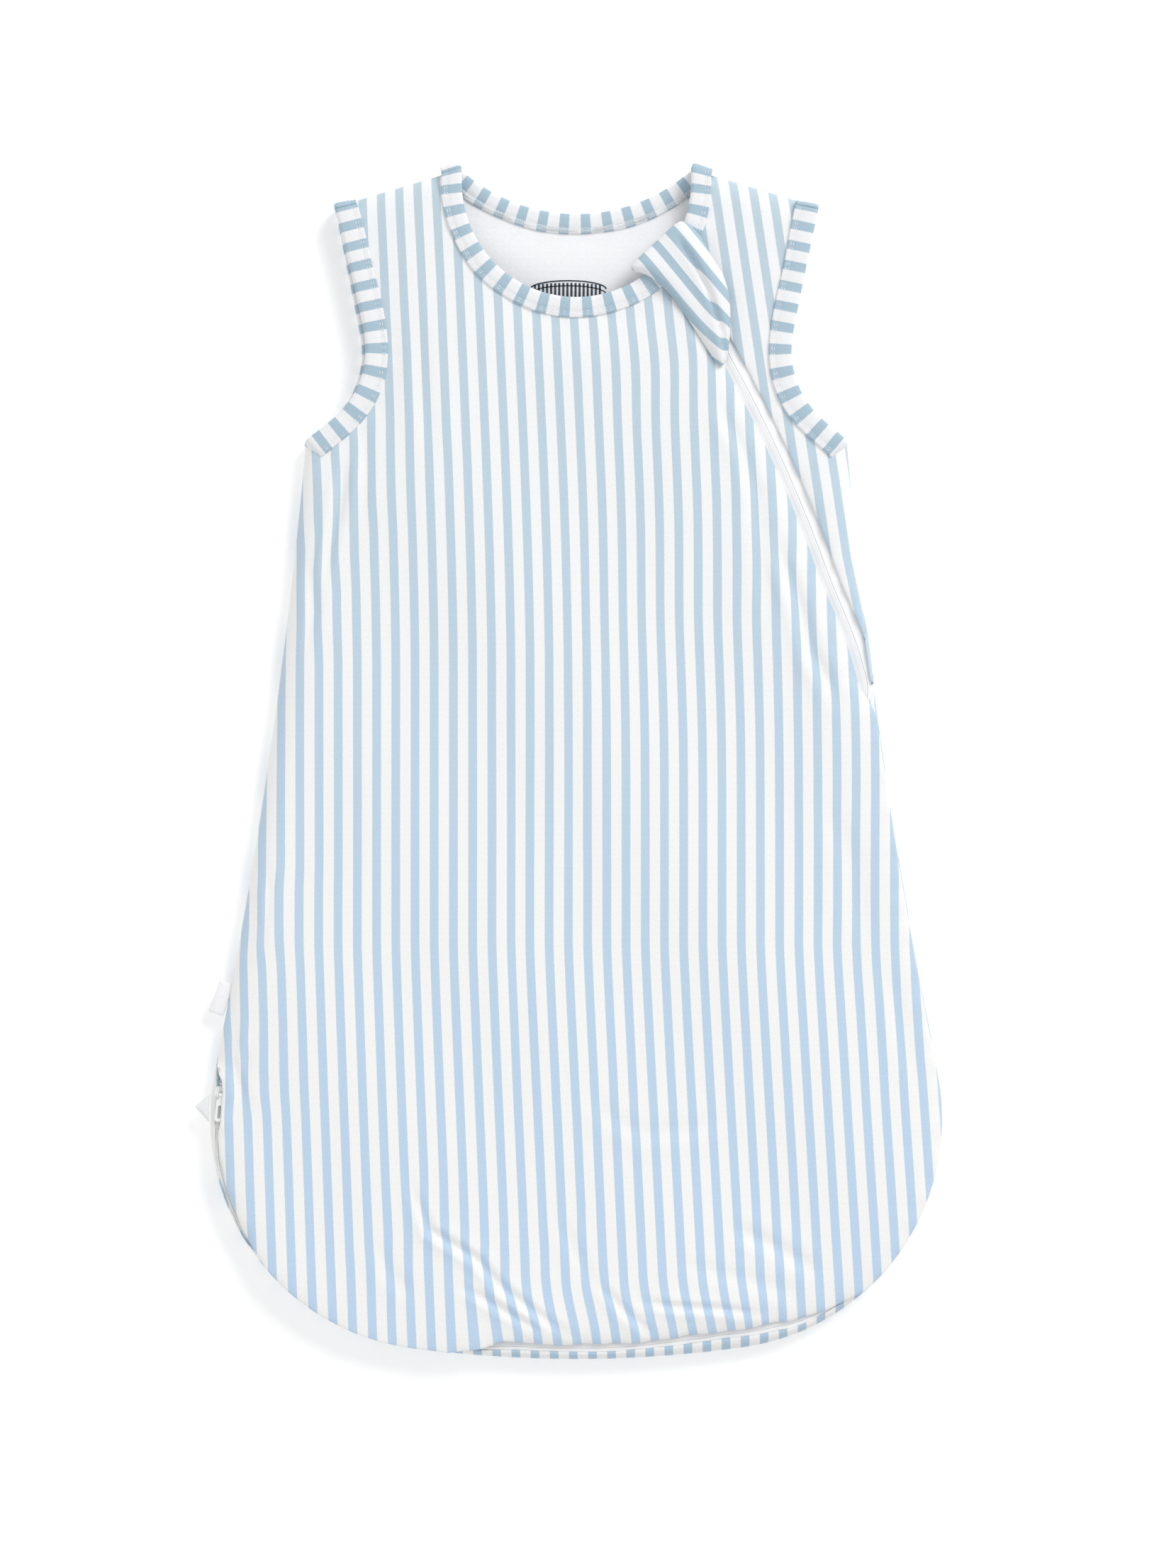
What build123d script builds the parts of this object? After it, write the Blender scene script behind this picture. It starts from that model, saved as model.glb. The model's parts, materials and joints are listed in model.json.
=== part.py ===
from build123d import *
import os
from math import asin, atan2, copysign, cos, degrees, hypot, radians, sin, sqrt

# Sleeveless baby sleeping bag, closed and laid flat on its back.
# Row frame: +Z up from the surface it lies on, +Y towards the neck, +X to the right, millimetres.
# Origin: on the resting face, on the centre line, half way between the neck points and the hem.
# The back panel lies on the surface. The front is a wide panel that folds open, and a narrow side
# panel on the right. One zip parts them: from the neck down to the right side, round the hem and up
# to the lower left side. Every padded panel is three plies: outer shell, wadding and lining.

# --- overall garment -----------------------------------------------------------------------------
BAG_LENGTH = 718.0  # neck point to hem
HEM_HALF_WIDTH = 221.0  # widest, at the round lower corners
UNDERARM_HALF_WIDTH = 163.0
UNDERARM_DROP = 164.0  # below the neck points, as are the other drops
SHOULDER_HALF_WIDTH = 146.0
SHOULDER_DROP = 23.0
NECK_HALF_WIDTH = 69.0
FRONT_NECK_DROP = 78.0
BACK_NECK_DROP = 26.0
ARM_CORNER_HALF_WIDTH = 124.5  # where the two straight runs of an armhole would meet
ARM_CORNER_DROP = 131.0
ARM_FILLET = 55.0
CORNER_RADIUS = 140.0  # lower corners
SIDE_LEAN = 11.5  # degrees, lean of the side seam where it leaves the corner
HEM_SWEEP = 8.0  # degrees, slope of the hem where the corner meets it

# --- plies and loft ------------------------------------------------------------------------------
SHELL = 0.8
WADDING = 2.6
LINING = 0.6
LOFT = 10.0  # room inside, between the two linings
SEAM_WALL = 1.0  # cloth joining front and back at the sides, hem and shoulders
NECK_BINDING = 12.5  # width of the band round the neck
ARM_BINDING = 14.0  # width of the band round each armhole
BINDING_EDGE = 1.0  # cloth of a binding wrapped round the panel's edge

# --- zip -----------------------------------------------------------------------------------------
ZIP_NECK_ANGLE = -38.0  # degrees round the neck circle, where the zip starts
ZIP_SIDE_DROP = 314.0  # where the zip reaches the right side seam
ZIP_BOW = 12.0  # how far the zip bows out of the straight
ZIP_INSET = 6.5  # chain line inside the outline, along the sides and hem
ZIP_END_ANGLE = 169.5  # degrees round the left corner, where the zip ends
CHAIN_GAP = 0.6  # half the gap between the two coils, for the slider's post
COIL_WIDTH = 2.0
COIL_HEIGHT = 1.5
COIL_BELOW_TAPE = 0.1
TAPE = 0.6
TAPE_WIDTH = 10.0
REVEAL = 5.5  # tape showing each side of the chain line
STOP_LENGTH = 2.4
FIT = 0.3  # clearance round the zip inside a slider

# --- sliders and pulls ---------------------------------------------------------------------------
SLIDER_LENGTH = 10.0
SLIDER_PLATE = 0.8
FLANGE = 0.8
FLANGE_GAP = 0.6  # beside the coils
POST_LENGTH = 3.0
POST_THICKNESS = 0.5
LUG_HEIGHT = 2.4
LUG_LENGTH = 2.4
LUG_THICKNESS = 0.8
PIN_RADIUS = 0.5
PIN_HEIGHT = 1.5  # pin axis above the top plate
PIN_CLEARANCE = 0.06
KNUCKLE_RADIUS = 1.15
KNUCKLE_LENGTH = 2.2
KNUCKLE_SIDE_GAP = 0.3
PULL_LENGTH = 16.0
PULL_WIDTH = 4.6
PULL_THICKNESS = 0.8
PULL_SHANK = 2.6  # narrow part from the pin to the wide tab
PULL_SLOT = 1.8  # width of the slot in the tab
TOP_SLIDER_GAP = 4.0  # from the neck edge to the upper slider
LOWER_SLIDER_ANGLE = 173.8  # degrees round the left corner
LOWER_SLIDER_END = 258.0

# --- fold, zip covers and label ------------------------------------------------------------------
FOLD_END_ANGLE = 196.0  # degrees round the left corner, where the fold of the front ends
FOLD_GAP = 0.2  # each side of the fold
FOLD_RISE = 0.2  # fold axis above the shell
COVER = 1.4  # two thicknesses of shell cloth
COVER_GAP = 0.4
COVER_LENGTH = 77.0
COVER_TIP_SHIFT = -12.0  # tip to the left of the zip
LOWER_COVER_HEIGHT = 9.0
LOWER_COVER_SPAN = 7.0  # degrees round the left corner
LOWER_COVER_THICKNESS = 1.2
LOWER_COVER_GAP = 0.5  # from the side wall
LOWER_COVER_DROP = 1.0  # below the top of the side wall
LABEL_LENGTH = 20.0
LABEL_REACH = 9.0
LABEL_THICKNESS = 0.8
LABEL_DROP = 502.0
LABEL_HEIGHT = 9.0

FAR = 2000.0  # well outside the bag

# --- heights -------------------------------------------------------------------------------------
PANEL = SHELL + WADDING + LINING
FRONT_Z = PANEL + LOFT  # underside of the front lining
TOP_Z = FRONT_Z + PANEL
TAPE_Z = FRONT_Z - TAPE
COIL_Z = TAPE_Z - COIL_BELOW_TAPE - COIL_HEIGHT
SLIDER_BOTTOM_Z = COIL_Z - FIT - SLIDER_PLATE
SLIDER_TOP_Z = FRONT_Z + FIT + SLIDER_PLATE
COVER_Z = TOP_Z + COVER_GAP

# --- places in plan ------------------------------------------------------------------------------
half_length = BAG_LENGTH / 2
neck_point = (NECK_HALF_WIDTH, half_length)
shoulder_tip = (SHOULDER_HALF_WIDTH, half_length - SHOULDER_DROP)
underarm = (UNDERARM_HALF_WIDTH, half_length - UNDERARM_DROP)
arm_corner = (ARM_CORNER_HALF_WIDTH, half_length - ARM_CORNER_DROP)
front_neck_centre = (0, half_length - FRONT_NECK_DROP + NECK_HALF_WIDTH)
back_neck_radius = (NECK_HALF_WIDTH**2 + BACK_NECK_DROP**2) / (2 * BACK_NECK_DROP)
back_neck_centre = (0, half_length - BACK_NECK_DROP + back_neck_radius)


def polar(centre, radius, angle):
    return (centre[0] + radius * cos(radians(angle)), centre[1] + radius * sin(radians(angle)))


def mirrored(point):
    return (-point[0], point[1])


def towards(start, end):
    length = hypot(end[0] - start[0], end[1] - start[1])
    return ((end[0] - start[0]) / length, (end[1] - start[1]) / length)


# The hem is one wide arc, tangent to both corner arcs.
corner_x = HEM_HALF_WIDTH - CORNER_RADIUS
hem_reach = corner_x / sin(radians(HEM_SWEEP))
right_corner = (corner_x, CORNER_RADIUS - half_length + hem_reach * (1 - cos(radians(HEM_SWEEP))))
left_corner = mirrored(right_corner)
hem_end = polar(right_corner, CORNER_RADIUS, HEM_SWEEP - 90)

# The side seam is an arc that leaves the corner in its own direction and ends under the arm.
side_start = polar(right_corner, CORNER_RADIUS, SIDE_LEAN)
side_out = (cos(radians(SIDE_LEAN)), sin(radians(SIDE_LEAN)))
side_run = (underarm[0] - side_start[0], underarm[1] - side_start[1])
side_radius = (side_run[0] ** 2 + side_run[1] ** 2) / (
    2 * (side_run[0] * side_out[0] + side_run[1] * side_out[1])
)
side_centre = (side_start[0] + side_radius * side_out[0], side_start[1] + side_radius * side_out[1])


def side_x(y, inset):
    """Half width of the bag at y, along its side seam, inset by that much."""
    across = sqrt((side_radius + inset) ** 2 - (y - side_centre[1]) ** 2)
    return side_centre[0] - copysign(across, side_radius)


# The zip's diagonal is an arc from the neck to the side seam, bowed to the right.
zip_top = polar(front_neck_centre, NECK_HALF_WIDTH, ZIP_NECK_ANGLE)
zip_side_y = half_length - ZIP_SIDE_DROP
zip_side = (side_x(zip_side_y, ZIP_INSET), zip_side_y)
zip_chord = hypot(zip_side[0] - zip_top[0], zip_side[1] - zip_top[1])
zip_radius = (zip_chord**2 / 4 + ZIP_BOW**2) / (2 * ZIP_BOW)
zip_down = towards(zip_top, zip_side)
zip_centre = (
    (zip_top[0] + zip_side[0]) / 2 + (zip_radius - ZIP_BOW) * zip_down[1],
    (zip_top[1] + zip_side[1]) / 2 - (zip_radius - ZIP_BOW) * zip_down[0],
)
zip_top_angle = degrees(atan2(zip_top[1] - zip_centre[1], zip_top[0] - zip_centre[0]))
zip_side_angle = degrees(atan2(zip_side[1] - zip_centre[1], zip_side[0] - zip_centre[0]))
zip_end = polar(left_corner, CORNER_RADIUS - ZIP_INSET, ZIP_END_ANGLE)


def along_zip(distance):
    """Angle round the zip's centre at that distance from the neck edge."""
    return zip_top_angle - degrees(distance / zip_radius)


# The front panel folds open about a line from the left neck point to the zip at the left corner.
fold_top = mirrored(neck_point)
fold_end = polar(left_corner, CORNER_RADIUS - ZIP_INSET, FOLD_END_ANGLE)
fold_down = towards(fold_top, fold_end)
fold_right = (-fold_down[1], fold_down[0])

# Slider places: the angle of its middle and the turn that carries it to the end of its run.
upper_slider_angle = along_zip(TOP_SLIDER_GAP + SLIDER_LENGTH / 2)
upper_slider_turn = upper_slider_angle - zip_side_angle - degrees(SLIDER_LENGTH / zip_radius)
lower_slider_turn = LOWER_SLIDER_END - LOWER_SLIDER_ANGLE
lower_slider_radius = CORNER_RADIUS - ZIP_INSET


# --- regions in plan -----------------------------------------------------------------------------
def disc(centre, radius):
    return Pos(*centre) * Circle(radius)


def ring(centre, inner, outer):
    return disc(centre, outer) - disc(centre, inner)


def polygon(*points):
    return make_face(Polyline(*points, close=True))


def wedge(centre, from_angle, to_angle):
    return polygon(centre, polar(centre, FAR, from_angle), polar(centre, FAR, to_angle))


def beside_fold(gap):
    """Everything to the right of the fold, starting that far from it."""
    start = (fold_top[0] + gap * fold_right[0], fold_top[1] + gap * fold_right[1])
    above = (start[0] - FAR * fold_down[0], start[1] - FAR * fold_down[1])
    below = (start[0] + FAR * fold_down[0], start[1] + FAR * fold_down[1])
    across = (2 * FAR * fold_right[0], 2 * FAR * fold_right[1])
    return polygon(above, below, (below[0] + across[0], below[1] + across[1]),
                   (above[0] + across[0], above[1] + across[1]))


def garment():
    """The whole outline, without the neck."""
    right = [
        CenterArc(right_corner, CORNER_RADIUS, HEM_SWEEP - 90, 90 - HEM_SWEEP + SIDE_LEAN),
        TangentArc(side_start, underarm, tangent=(-side_out[1], side_out[0])),
        FilletPolyline(underarm, arm_corner, shoulder_tip, radius=ARM_FILLET),
        Line(shoulder_tip, neck_point),
    ]
    left = [mirror(edge, about=Plane.YZ) for edge in right]
    hem = ThreePointArc(mirrored(hem_end), (0, -half_length), hem_end)
    return make_face(right + left + [hem, Line(mirrored(neck_point), neck_point)])


def front_neck(extra):
    """The front neck opening, widened by that much."""
    half = NECK_HALF_WIDTH + extra
    column = polygon((-half, front_neck_centre[1]), (half, front_neck_centre[1]), (half, FAR), (-half, FAR))
    return disc(front_neck_centre, half) + column


def back_neck(extra):
    return disc(back_neck_centre, back_neck_radius + extra)


def arm_band(width):
    """A strip of that width inside the right armhole, cut square at both ends."""
    runs = [underarm, arm_corner, shoulder_tip]
    lower, upper = towards(runs[0], runs[1]), towards(runs[1], runs[2])
    lower_side, upper_side = (lower[1], -lower[0]), (upper[1], -upper[0])
    joint = 1 + lower_side[0] * upper_side[0] + lower_side[1] * upper_side[1]
    inner = [
        (underarm[0] - width * lower_side[0], underarm[1] - width * lower_side[1]),
        (arm_corner[0] - width * (lower_side[0] + upper_side[0]) / joint,
         arm_corner[1] - width * (lower_side[1] + upper_side[1]) / joint),
        (shoulder_tip[0] - width * upper_side[0], shoulder_tip[1] - width * upper_side[1]),
    ]
    edges = [
        FilletPolyline(*runs, radius=ARM_FILLET),
        FilletPolyline(*inner, radius=ARM_FILLET + width),
        Line(runs[0], inner[0]),
        Line(runs[2], inner[2]),
    ]
    return make_face(edges)


def within(area, *limits):
    """The part of an area that is inside every limit."""
    for limit in limits:
        area = Sketch() + (area & limit).faces()
    return area


def without(area, *others):
    """The part of an area that is outside all the others."""
    for other in others:
        area = Sketch() + (area - other).faces()
    return area


body = garment()
zip_zone = polygon(
    (zip_side[0] + FAR, zip_side[1] + (zip_side[1] - zip_end[1]) * FAR / (zip_side[0] - zip_end[0])),
    (zip_end[0] - FAR, zip_end[1] - (zip_side[1] - zip_end[1]) * FAR / (zip_side[0] - zip_end[0])),
    (zip_end[0] - FAR, -2 * FAR), (zip_side[0] + FAR, -2 * FAR),
)
flap_half = beside_fold(FOLD_GAP)
fixed_half = without(body, beside_fold(-FOLD_GAP))
right_arm = {w: within(arm_band(w), body) for w in (ARM_BINDING, BINDING_EDGE)}
arms = {w: right_arm[w] + mirror(right_arm[w], about=Plane.YZ) for w in right_arm}


def hem_strip(outer, inner):
    """The strip between two insets of the outline, where the zip follows the sides and hem."""
    outside = offset(body, amount=-outer) if outer else body
    return within(without(outside, offset(body, amount=-inner)), zip_zone)


def zip_strip(start, end):
    """The strip along the whole zip between two distances from the chain line; plus is outwards."""
    near, far = sorted((start, end))
    diagonal = within(ring(zip_centre, zip_radius + near, zip_radius + far), body, wedge_above_side())
    diagonal = without(diagonal, zip_zone, front_neck(0))
    return diagonal + hem_strip(ZIP_INSET - far, ZIP_INSET - near)


def wedge_above_side():
    """The part of the plane between the neck and the side seam, seen from the zip's centre."""
    return wedge(zip_centre, zip_side_angle - 1.0, zip_top_angle + 2.0)


zip_gap = zip_strip(-REVEAL, REVEAL) + hem_strip(0, ZIP_INSET)
front_face = without(body, front_neck(0), zip_gap)
inside_zip = disc(zip_centre, zip_radius) + zip_zone
flap_face = within(front_face, flap_half, inside_zip)
fixed_face = within(front_face, fixed_half)
beyond_zip = wedge(zip_centre, zip_side_angle - 3.0, zip_top_angle + 20.0)
side_face = within(without(front_face, inside_zip), beyond_zip)
back_face = without(body, back_neck(0))


# --- sub-parts -----------------------------------------------------------------------------------
def slab(face, bottom, thickness):
    return Pos(0, 0, bottom) * extrude(face, amount=thickness, dir=(0, 0, 1))


def panel(name, face, neck, bottom, facing_up):
    """Shell, wadding and lining of one panel, trimmed for the bindings that wrap its edges."""
    bands = arms[ARM_BINDING] + neck(NECK_BINDING)
    edges = arms[BINDING_EDGE] + neck(BINDING_EDGE)
    skin = without(face, bands)
    core = without(face, edges)
    if facing_up:
        return {
            f"{name}_lining": slab(skin, bottom, LINING),
            f"{name}_wadding": slab(core, bottom + LINING, WADDING),
            f"{name}_shell": slab(skin, bottom + LINING + WADDING, SHELL),
        }
    return {
        f"{name}_shell": slab(skin, bottom, SHELL),
        f"{name}_wadding": slab(core, bottom + SHELL, WADDING),
        f"{name}_lining": slab(skin, bottom + SHELL + WADDING, LINING),
    }


def wrap(band, edge, bottom, facing_up):
    """A binding folded round an edge: a leaf on each face of the panel and the cloth between."""
    lower, upper = (LINING, SHELL) if facing_up else (SHELL, LINING)
    leaves = slab(band, bottom, lower) + slab(band, bottom + PANEL - upper, upper)
    return leaves + slab(edge, bottom, PANEL)


def arm_binding(side):
    band = right_arm[ARM_BINDING] if side > 0 else mirror(right_arm[ARM_BINDING], about=Plane.YZ)
    edge = right_arm[BINDING_EDGE] if side > 0 else mirror(right_arm[BINDING_EDGE], about=Plane.YZ)
    corners = [(side * point[0], point[1]) for point in (shoulder_tip, underarm)]
    ends = [within(disc(corner, ARM_BINDING / 2), band) for corner in corners]
    loop = wrap(band, edge, 0, False) + wrap(band, edge, FRONT_Z, True)
    for end in ends:
        loop += slab(end, PANEL, LOFT)
    return loop


def neck_band(neck, extra):
    return within(without(neck(extra), neck(0)), body)


def neck_bindings():
    """The band is one strip round the neck. The part right of the fold moves with the front."""
    front = {w: neck_band(front_neck, w) for w in (NECK_BINDING, BINDING_EDGE)}
    back = {w: neck_band(back_neck, w) for w in (NECK_BINDING, BINDING_EDGE)}
    moving_front = {w: within(flap_face, front[w]) for w in front}
    held_front = {w: within(fixed_face, front[w]) + within(side_face, front[w]) for w in front}
    moving = wrap(moving_front[NECK_BINDING], moving_front[BINDING_EDGE], FRONT_Z, True)
    held = wrap(held_front[NECK_BINDING], held_front[BINDING_EDGE], FRONT_Z, True)
    held += wrap(back[NECK_BINDING], back[BINDING_EDGE], 0, False)
    for side in (-1, 1):
        tip = disc((side * neck_point[0], neck_point[1]), NECK_BINDING / 2)
        held += slab(within(tip, back[NECK_BINDING], held_front[NECK_BINDING]), PANEL, LOFT)
    return moving, held


def seam_walls():
    """The cloth that joins front and back, standing between the two linings."""
    rim = without(body, offset(body, amount=-SEAM_WALL))
    clear = without(rim, arms[ARM_BINDING], front_neck(NECK_BINDING), back_neck(NECK_BINDING))
    high = half_length - ARM_CORNER_DROP
    walls = {"hem_edge": within(rim, zip_zone)}
    for name, sign in (("left", -1), ("right", 1)):
        half = polygon((0, high), (sign * FAR, high), (sign * FAR, FAR), (0, FAR))
        low = polygon((0, high), (sign * FAR, high), (sign * FAR, -FAR), (0, -FAR))
        walls[f"{name}_shoulder_seam"] = within(clear, half)
        walls[f"{name}_side_seam"] = without(within(clear, low), zip_zone)
    return {name: slab(face, PANEL, LOFT) for name, face in walls.items()}


def zip_tapes_and_coils():
    """Two tapes with a coil under each. The front half of the zip is parted at the fold."""
    slider_top = along_zip(TOP_SLIDER_GAP - FIT)
    slider_foot = along_zip(TOP_SLIDER_GAP + SLIDER_LENGTH + FIT)
    notch = within(
        ring(zip_centre, zip_radius - REVEAL + 1, zip_radius), wedge(zip_centre, slider_foot, slider_top)
    )
    above_slider = wedge(zip_centre, slider_top, zip_top_angle + 2.0)
    slider_and_above = wedge(zip_centre, slider_foot, zip_top_angle + 2.0)
    inner_body = offset(body, amount=-SEAM_WALL)
    front_tape = without(zip_strip(-CHAIN_GAP - TAPE_WIDTH, -CHAIN_GAP), notch)
    front_coil = without(zip_strip(-CHAIN_GAP - COIL_WIDTH, -CHAIN_GAP), slider_and_above)
    back_tape = within(without(zip_strip(CHAIN_GAP, CHAIN_GAP + TAPE_WIDTH), zip_zone), inner_body)
    back_tape += hem_strip(SEAM_WALL, ZIP_INSET - CHAIN_GAP)
    back_coil = without(zip_strip(CHAIN_GAP, CHAIN_GAP + COIL_WIDTH), above_slider)
    return {
        "front_zip_tape": slab(within(front_tape, flap_half), TAPE_Z, TAPE),
        "front_zip_tape_end": slab(within(front_tape, fixed_half), TAPE_Z, TAPE),
        "back_zip_tape": slab(back_tape, TAPE_Z, TAPE),
        "front_zip_coil": slab(within(front_coil, flap_half), COIL_Z, COIL_HEIGHT),
        "front_zip_coil_end": slab(within(front_coil, fixed_half), COIL_Z, COIL_HEIGHT),
        "back_zip_coil": slab(back_coil, COIL_Z, COIL_HEIGHT),
    }


def zip_stops():
    """A moulded stop under each tape: two above the upper slider, one bar above the lower one."""
    start, end = along_zip(TOP_SLIDER_GAP - FIT), along_zip(TOP_SLIDER_GAP - FIT - STOP_LENGTH)
    top = wedge(zip_centre, start, end)
    front = within(ring(zip_centre, zip_radius - CHAIN_GAP - COIL_WIDTH, zip_radius - CHAIN_GAP), top)
    back = within(ring(zip_centre, zip_radius + CHAIN_GAP, zip_radius + CHAIN_GAP + COIL_WIDTH), top)
    half_turn = degrees(SLIDER_LENGTH / 2 / lower_slider_radius)
    high = LOWER_SLIDER_ANGLE - half_turn - 0.5
    low = high - degrees(STOP_LENGTH / 2 / lower_slider_radius)
    bar = ring(left_corner, lower_slider_radius - CHAIN_GAP, lower_slider_radius + CHAIN_GAP)
    bar = within(bar, wedge(left_corner, low, high))
    height = COIL_HEIGHT + COIL_BELOW_TAPE
    return {
        "front_top_stop": slab(front, COIL_Z, height),
        "back_top_stop": slab(back, COIL_Z, height),
        "bottom_stop": slab(bar, COIL_Z, height),
    }


def slider():
    """Slider body: +X is the way it travels, Z is the row's height."""
    half_width = CHAIN_GAP + COIL_WIDTH + FLANGE_GAP + FLANGE
    corner = half_width * 0.5
    plate = fillet(Rectangle(SLIDER_LENGTH, 2 * half_width).vertices(), corner)
    top = slab(plate, SLIDER_TOP_Z - SLIDER_PLATE, SLIDER_PLATE)
    bottom = slab(plate, SLIDER_BOTTOM_Z, SLIDER_PLATE)
    rail = Rectangle(SLIDER_LENGTH - 2 * corner, FLANGE)
    rails = sum((Pos(0, side * (half_width - FLANGE / 2)) * rail for side in (-1, 1)), Sketch())
    flanges = slab(rails, COIL_Z - FIT, TAPE_Z - COIL_Z)
    post_face = Pos((POST_LENGTH - SLIDER_LENGTH) / 2 + 0.5, 0) * Rectangle(POST_LENGTH, POST_THICKNESS)
    post = slab(post_face, SLIDER_BOTTOM_Z, SLIDER_TOP_Z - SLIDER_BOTTOM_Z)
    lug_side = KNUCKLE_LENGTH / 2 + KNUCKLE_SIDE_GAP + LUG_THICKNESS / 2
    lug_faces = sum((Pos(0, side * lug_side) * Rectangle(LUG_LENGTH, LUG_THICKNESS) for side in (-1, 1)), Sketch())
    lugs = slab(lug_faces, SLIDER_TOP_Z, LUG_HEIGHT)
    pin = Pos(0, 0, SLIDER_TOP_Z + PIN_HEIGHT) * Rot(90, 0, 0) * Cylinder(PIN_RADIUS, 2 * lug_side)
    return top + bottom + flanges + post + lugs + pin


def pull():
    """Pull tab lying flat along the way the slider travels, with a knuckle round the slider's pin."""
    knuckle = Cylinder(KNUCKLE_RADIUS, KNUCKLE_LENGTH)
    shank = Pos(PULL_SHANK / 2 + PIN_RADIUS, 0) * Rectangle(PULL_SHANK, KNUCKLE_LENGTH)
    start = PULL_SHANK
    tab = Pos((start + PULL_LENGTH) / 2, 0) * Rectangle(PULL_LENGTH - start, PULL_WIDTH)
    tab = fillet(tab.vertices(), PULL_WIDTH * 0.35)
    slot = Pos((start + PULL_LENGTH) / 2 + 1, 0) * SlotOverall(PULL_LENGTH * 0.5, PULL_SLOT)
    blade = Pos(0, 0, -PULL_THICKNESS / 2) * extrude(shank + tab - slot, amount=PULL_THICKNESS, dir=(0, 0, 1))
    body_part = Rot(90, 0, 0) * knuckle + blade
    return body_part - Rot(90, 0, 0) * Cylinder(PIN_RADIUS + PIN_CLEARANCE, KNUCKLE_LENGTH + 1)


def at_slider(shape, centre, radius, angle, turn, height=0.0):
    """Put a slider-frame shape on its zip: turn is +1 where it travels with a growing angle."""
    place = polar(centre, radius, angle)
    return Pos(place[0], place[1], height) * Rot(0, 0, angle + turn * 90) * shape


def sliders():
    pin_z = SLIDER_TOP_Z + PIN_HEIGHT
    return {
        "upper_slider": at_slider(slider(), zip_centre, zip_radius, upper_slider_angle, -1),
        "upper_pull": at_slider(pull(), zip_centre, zip_radius, upper_slider_angle, -1, pin_z),
        "lower_slider": at_slider(slider(), left_corner, lower_slider_radius, LOWER_SLIDER_ANGLE, 1),
        "lower_pull": at_slider(pull(), left_corner, lower_slider_radius, LOWER_SLIDER_ANGLE, 1, pin_z),
    }


# Upper zip cover, in the zip's own frame: u runs down the zip from the neck, v to the right.
cover_u = (sin(radians(zip_top_angle)), -cos(radians(zip_top_angle)))
cover_v = (cos(radians(zip_top_angle)), sin(radians(zip_top_angle)))


def on_cover(u, v):
    return (zip_top[0] + u * cover_u[0] + v * cover_v[0], zip_top[1] + u * cover_u[1] + v * cover_v[1])


cover_hinge = (on_cover(3.5, -22.0), on_cover(-6.6, 14.1))


def upper_cover():
    """Leaf of folded shell cloth that lies over the top of the zip, sewn along the neck edge."""
    tip = on_cover(COVER_LENGTH, COVER_TIP_SHIFT)
    tip_left = on_cover(COVER_LENGTH - 7, COVER_TIP_SHIFT - 2.5)
    tip_right = on_cover(COVER_LENGTH - 2, COVER_TIP_SHIFT + 7)
    right_side = on_cover(COVER_LENGTH * 0.7, 12)
    face = make_face([
        Line(cover_hinge[0], tip_left),
        ThreePointArc(tip_left, tip, tip_right),
        ThreePointArc(tip_right, right_side, cover_hinge[1]),
        Line(cover_hinge[1], cover_hinge[0]),
    ])
    return slab(face, COVER_Z, COVER)


lower_cover_angle = LOWER_SLIDER_ANGLE + LOWER_COVER_SPAN / 2
lower_cover_z = FRONT_Z - LOWER_COVER_DROP - LOWER_COVER_THICKNESS


def lower_cover():
    """Small folded triangle of lining cloth beside the lower slider, lying outwards."""
    root_radius = CORNER_RADIUS + LOWER_COVER_GAP
    first = polar(left_corner, root_radius, LOWER_SLIDER_ANGLE)
    last = polar(left_corner, root_radius, LOWER_SLIDER_ANGLE + LOWER_COVER_SPAN)
    tip = polar(left_corner, CORNER_RADIUS + LOWER_COVER_HEIGHT, lower_cover_angle)
    face = without(polygon(first, tip, last), disc(left_corner, root_radius))
    return slab(face, lower_cover_z, LOWER_COVER_THICKNESS)


def side_label():
    """Blank folded ribbon standing out of the left side seam."""
    y = half_length - LABEL_DROP
    x = -side_x(y, 0)
    lean = degrees(asin((y - side_centre[1]) / side_radius))
    face = Pos(x, y) * Rot(0, 0, lean) * Rectangle(2 * LABEL_REACH, LABEL_LENGTH)
    return slab(without(face, body), LABEL_HEIGHT, LABEL_THICKNESS)


def build():
    parts = {}
    parts.update(panel("back", back_face, back_neck, 0, False))
    parts.update(panel("front", flap_face, front_neck, FRONT_Z, True))
    parts.update(panel("front_left", fixed_face, front_neck, FRONT_Z, True))
    parts.update(panel("side", side_face, front_neck, FRONT_Z, True))
    parts["neck_binding_front"], parts["neck_binding"] = neck_bindings()
    parts["left_armhole_binding"] = arm_binding(-1)
    parts["right_armhole_binding"] = arm_binding(1)
    parts.update(seam_walls())
    parts.update(zip_tapes_and_coils())
    parts.update(zip_stops())
    parts.update(sliders())
    parts["upper_zip_cover"] = upper_cover()
    parts["lower_zip_cover"] = lower_cover()
    parts["side_label"] = side_label()
    return parts


os.makedirs("parts", exist_ok=True)
for node, shape in build().items():
    solids = shape.solids()
    whole = solids[0] if len(solids) == 1 else Compound(children=list(solids))
    whole.label = node
    export_step(whole, f"parts/{node}.step")
    print(node, len(solids), "solids")
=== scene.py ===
import json
from math import atan2, cos, pi, radians, sin

import bpy
import numpy as np
from mathutils import Matrix, Vector, geometry


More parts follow.
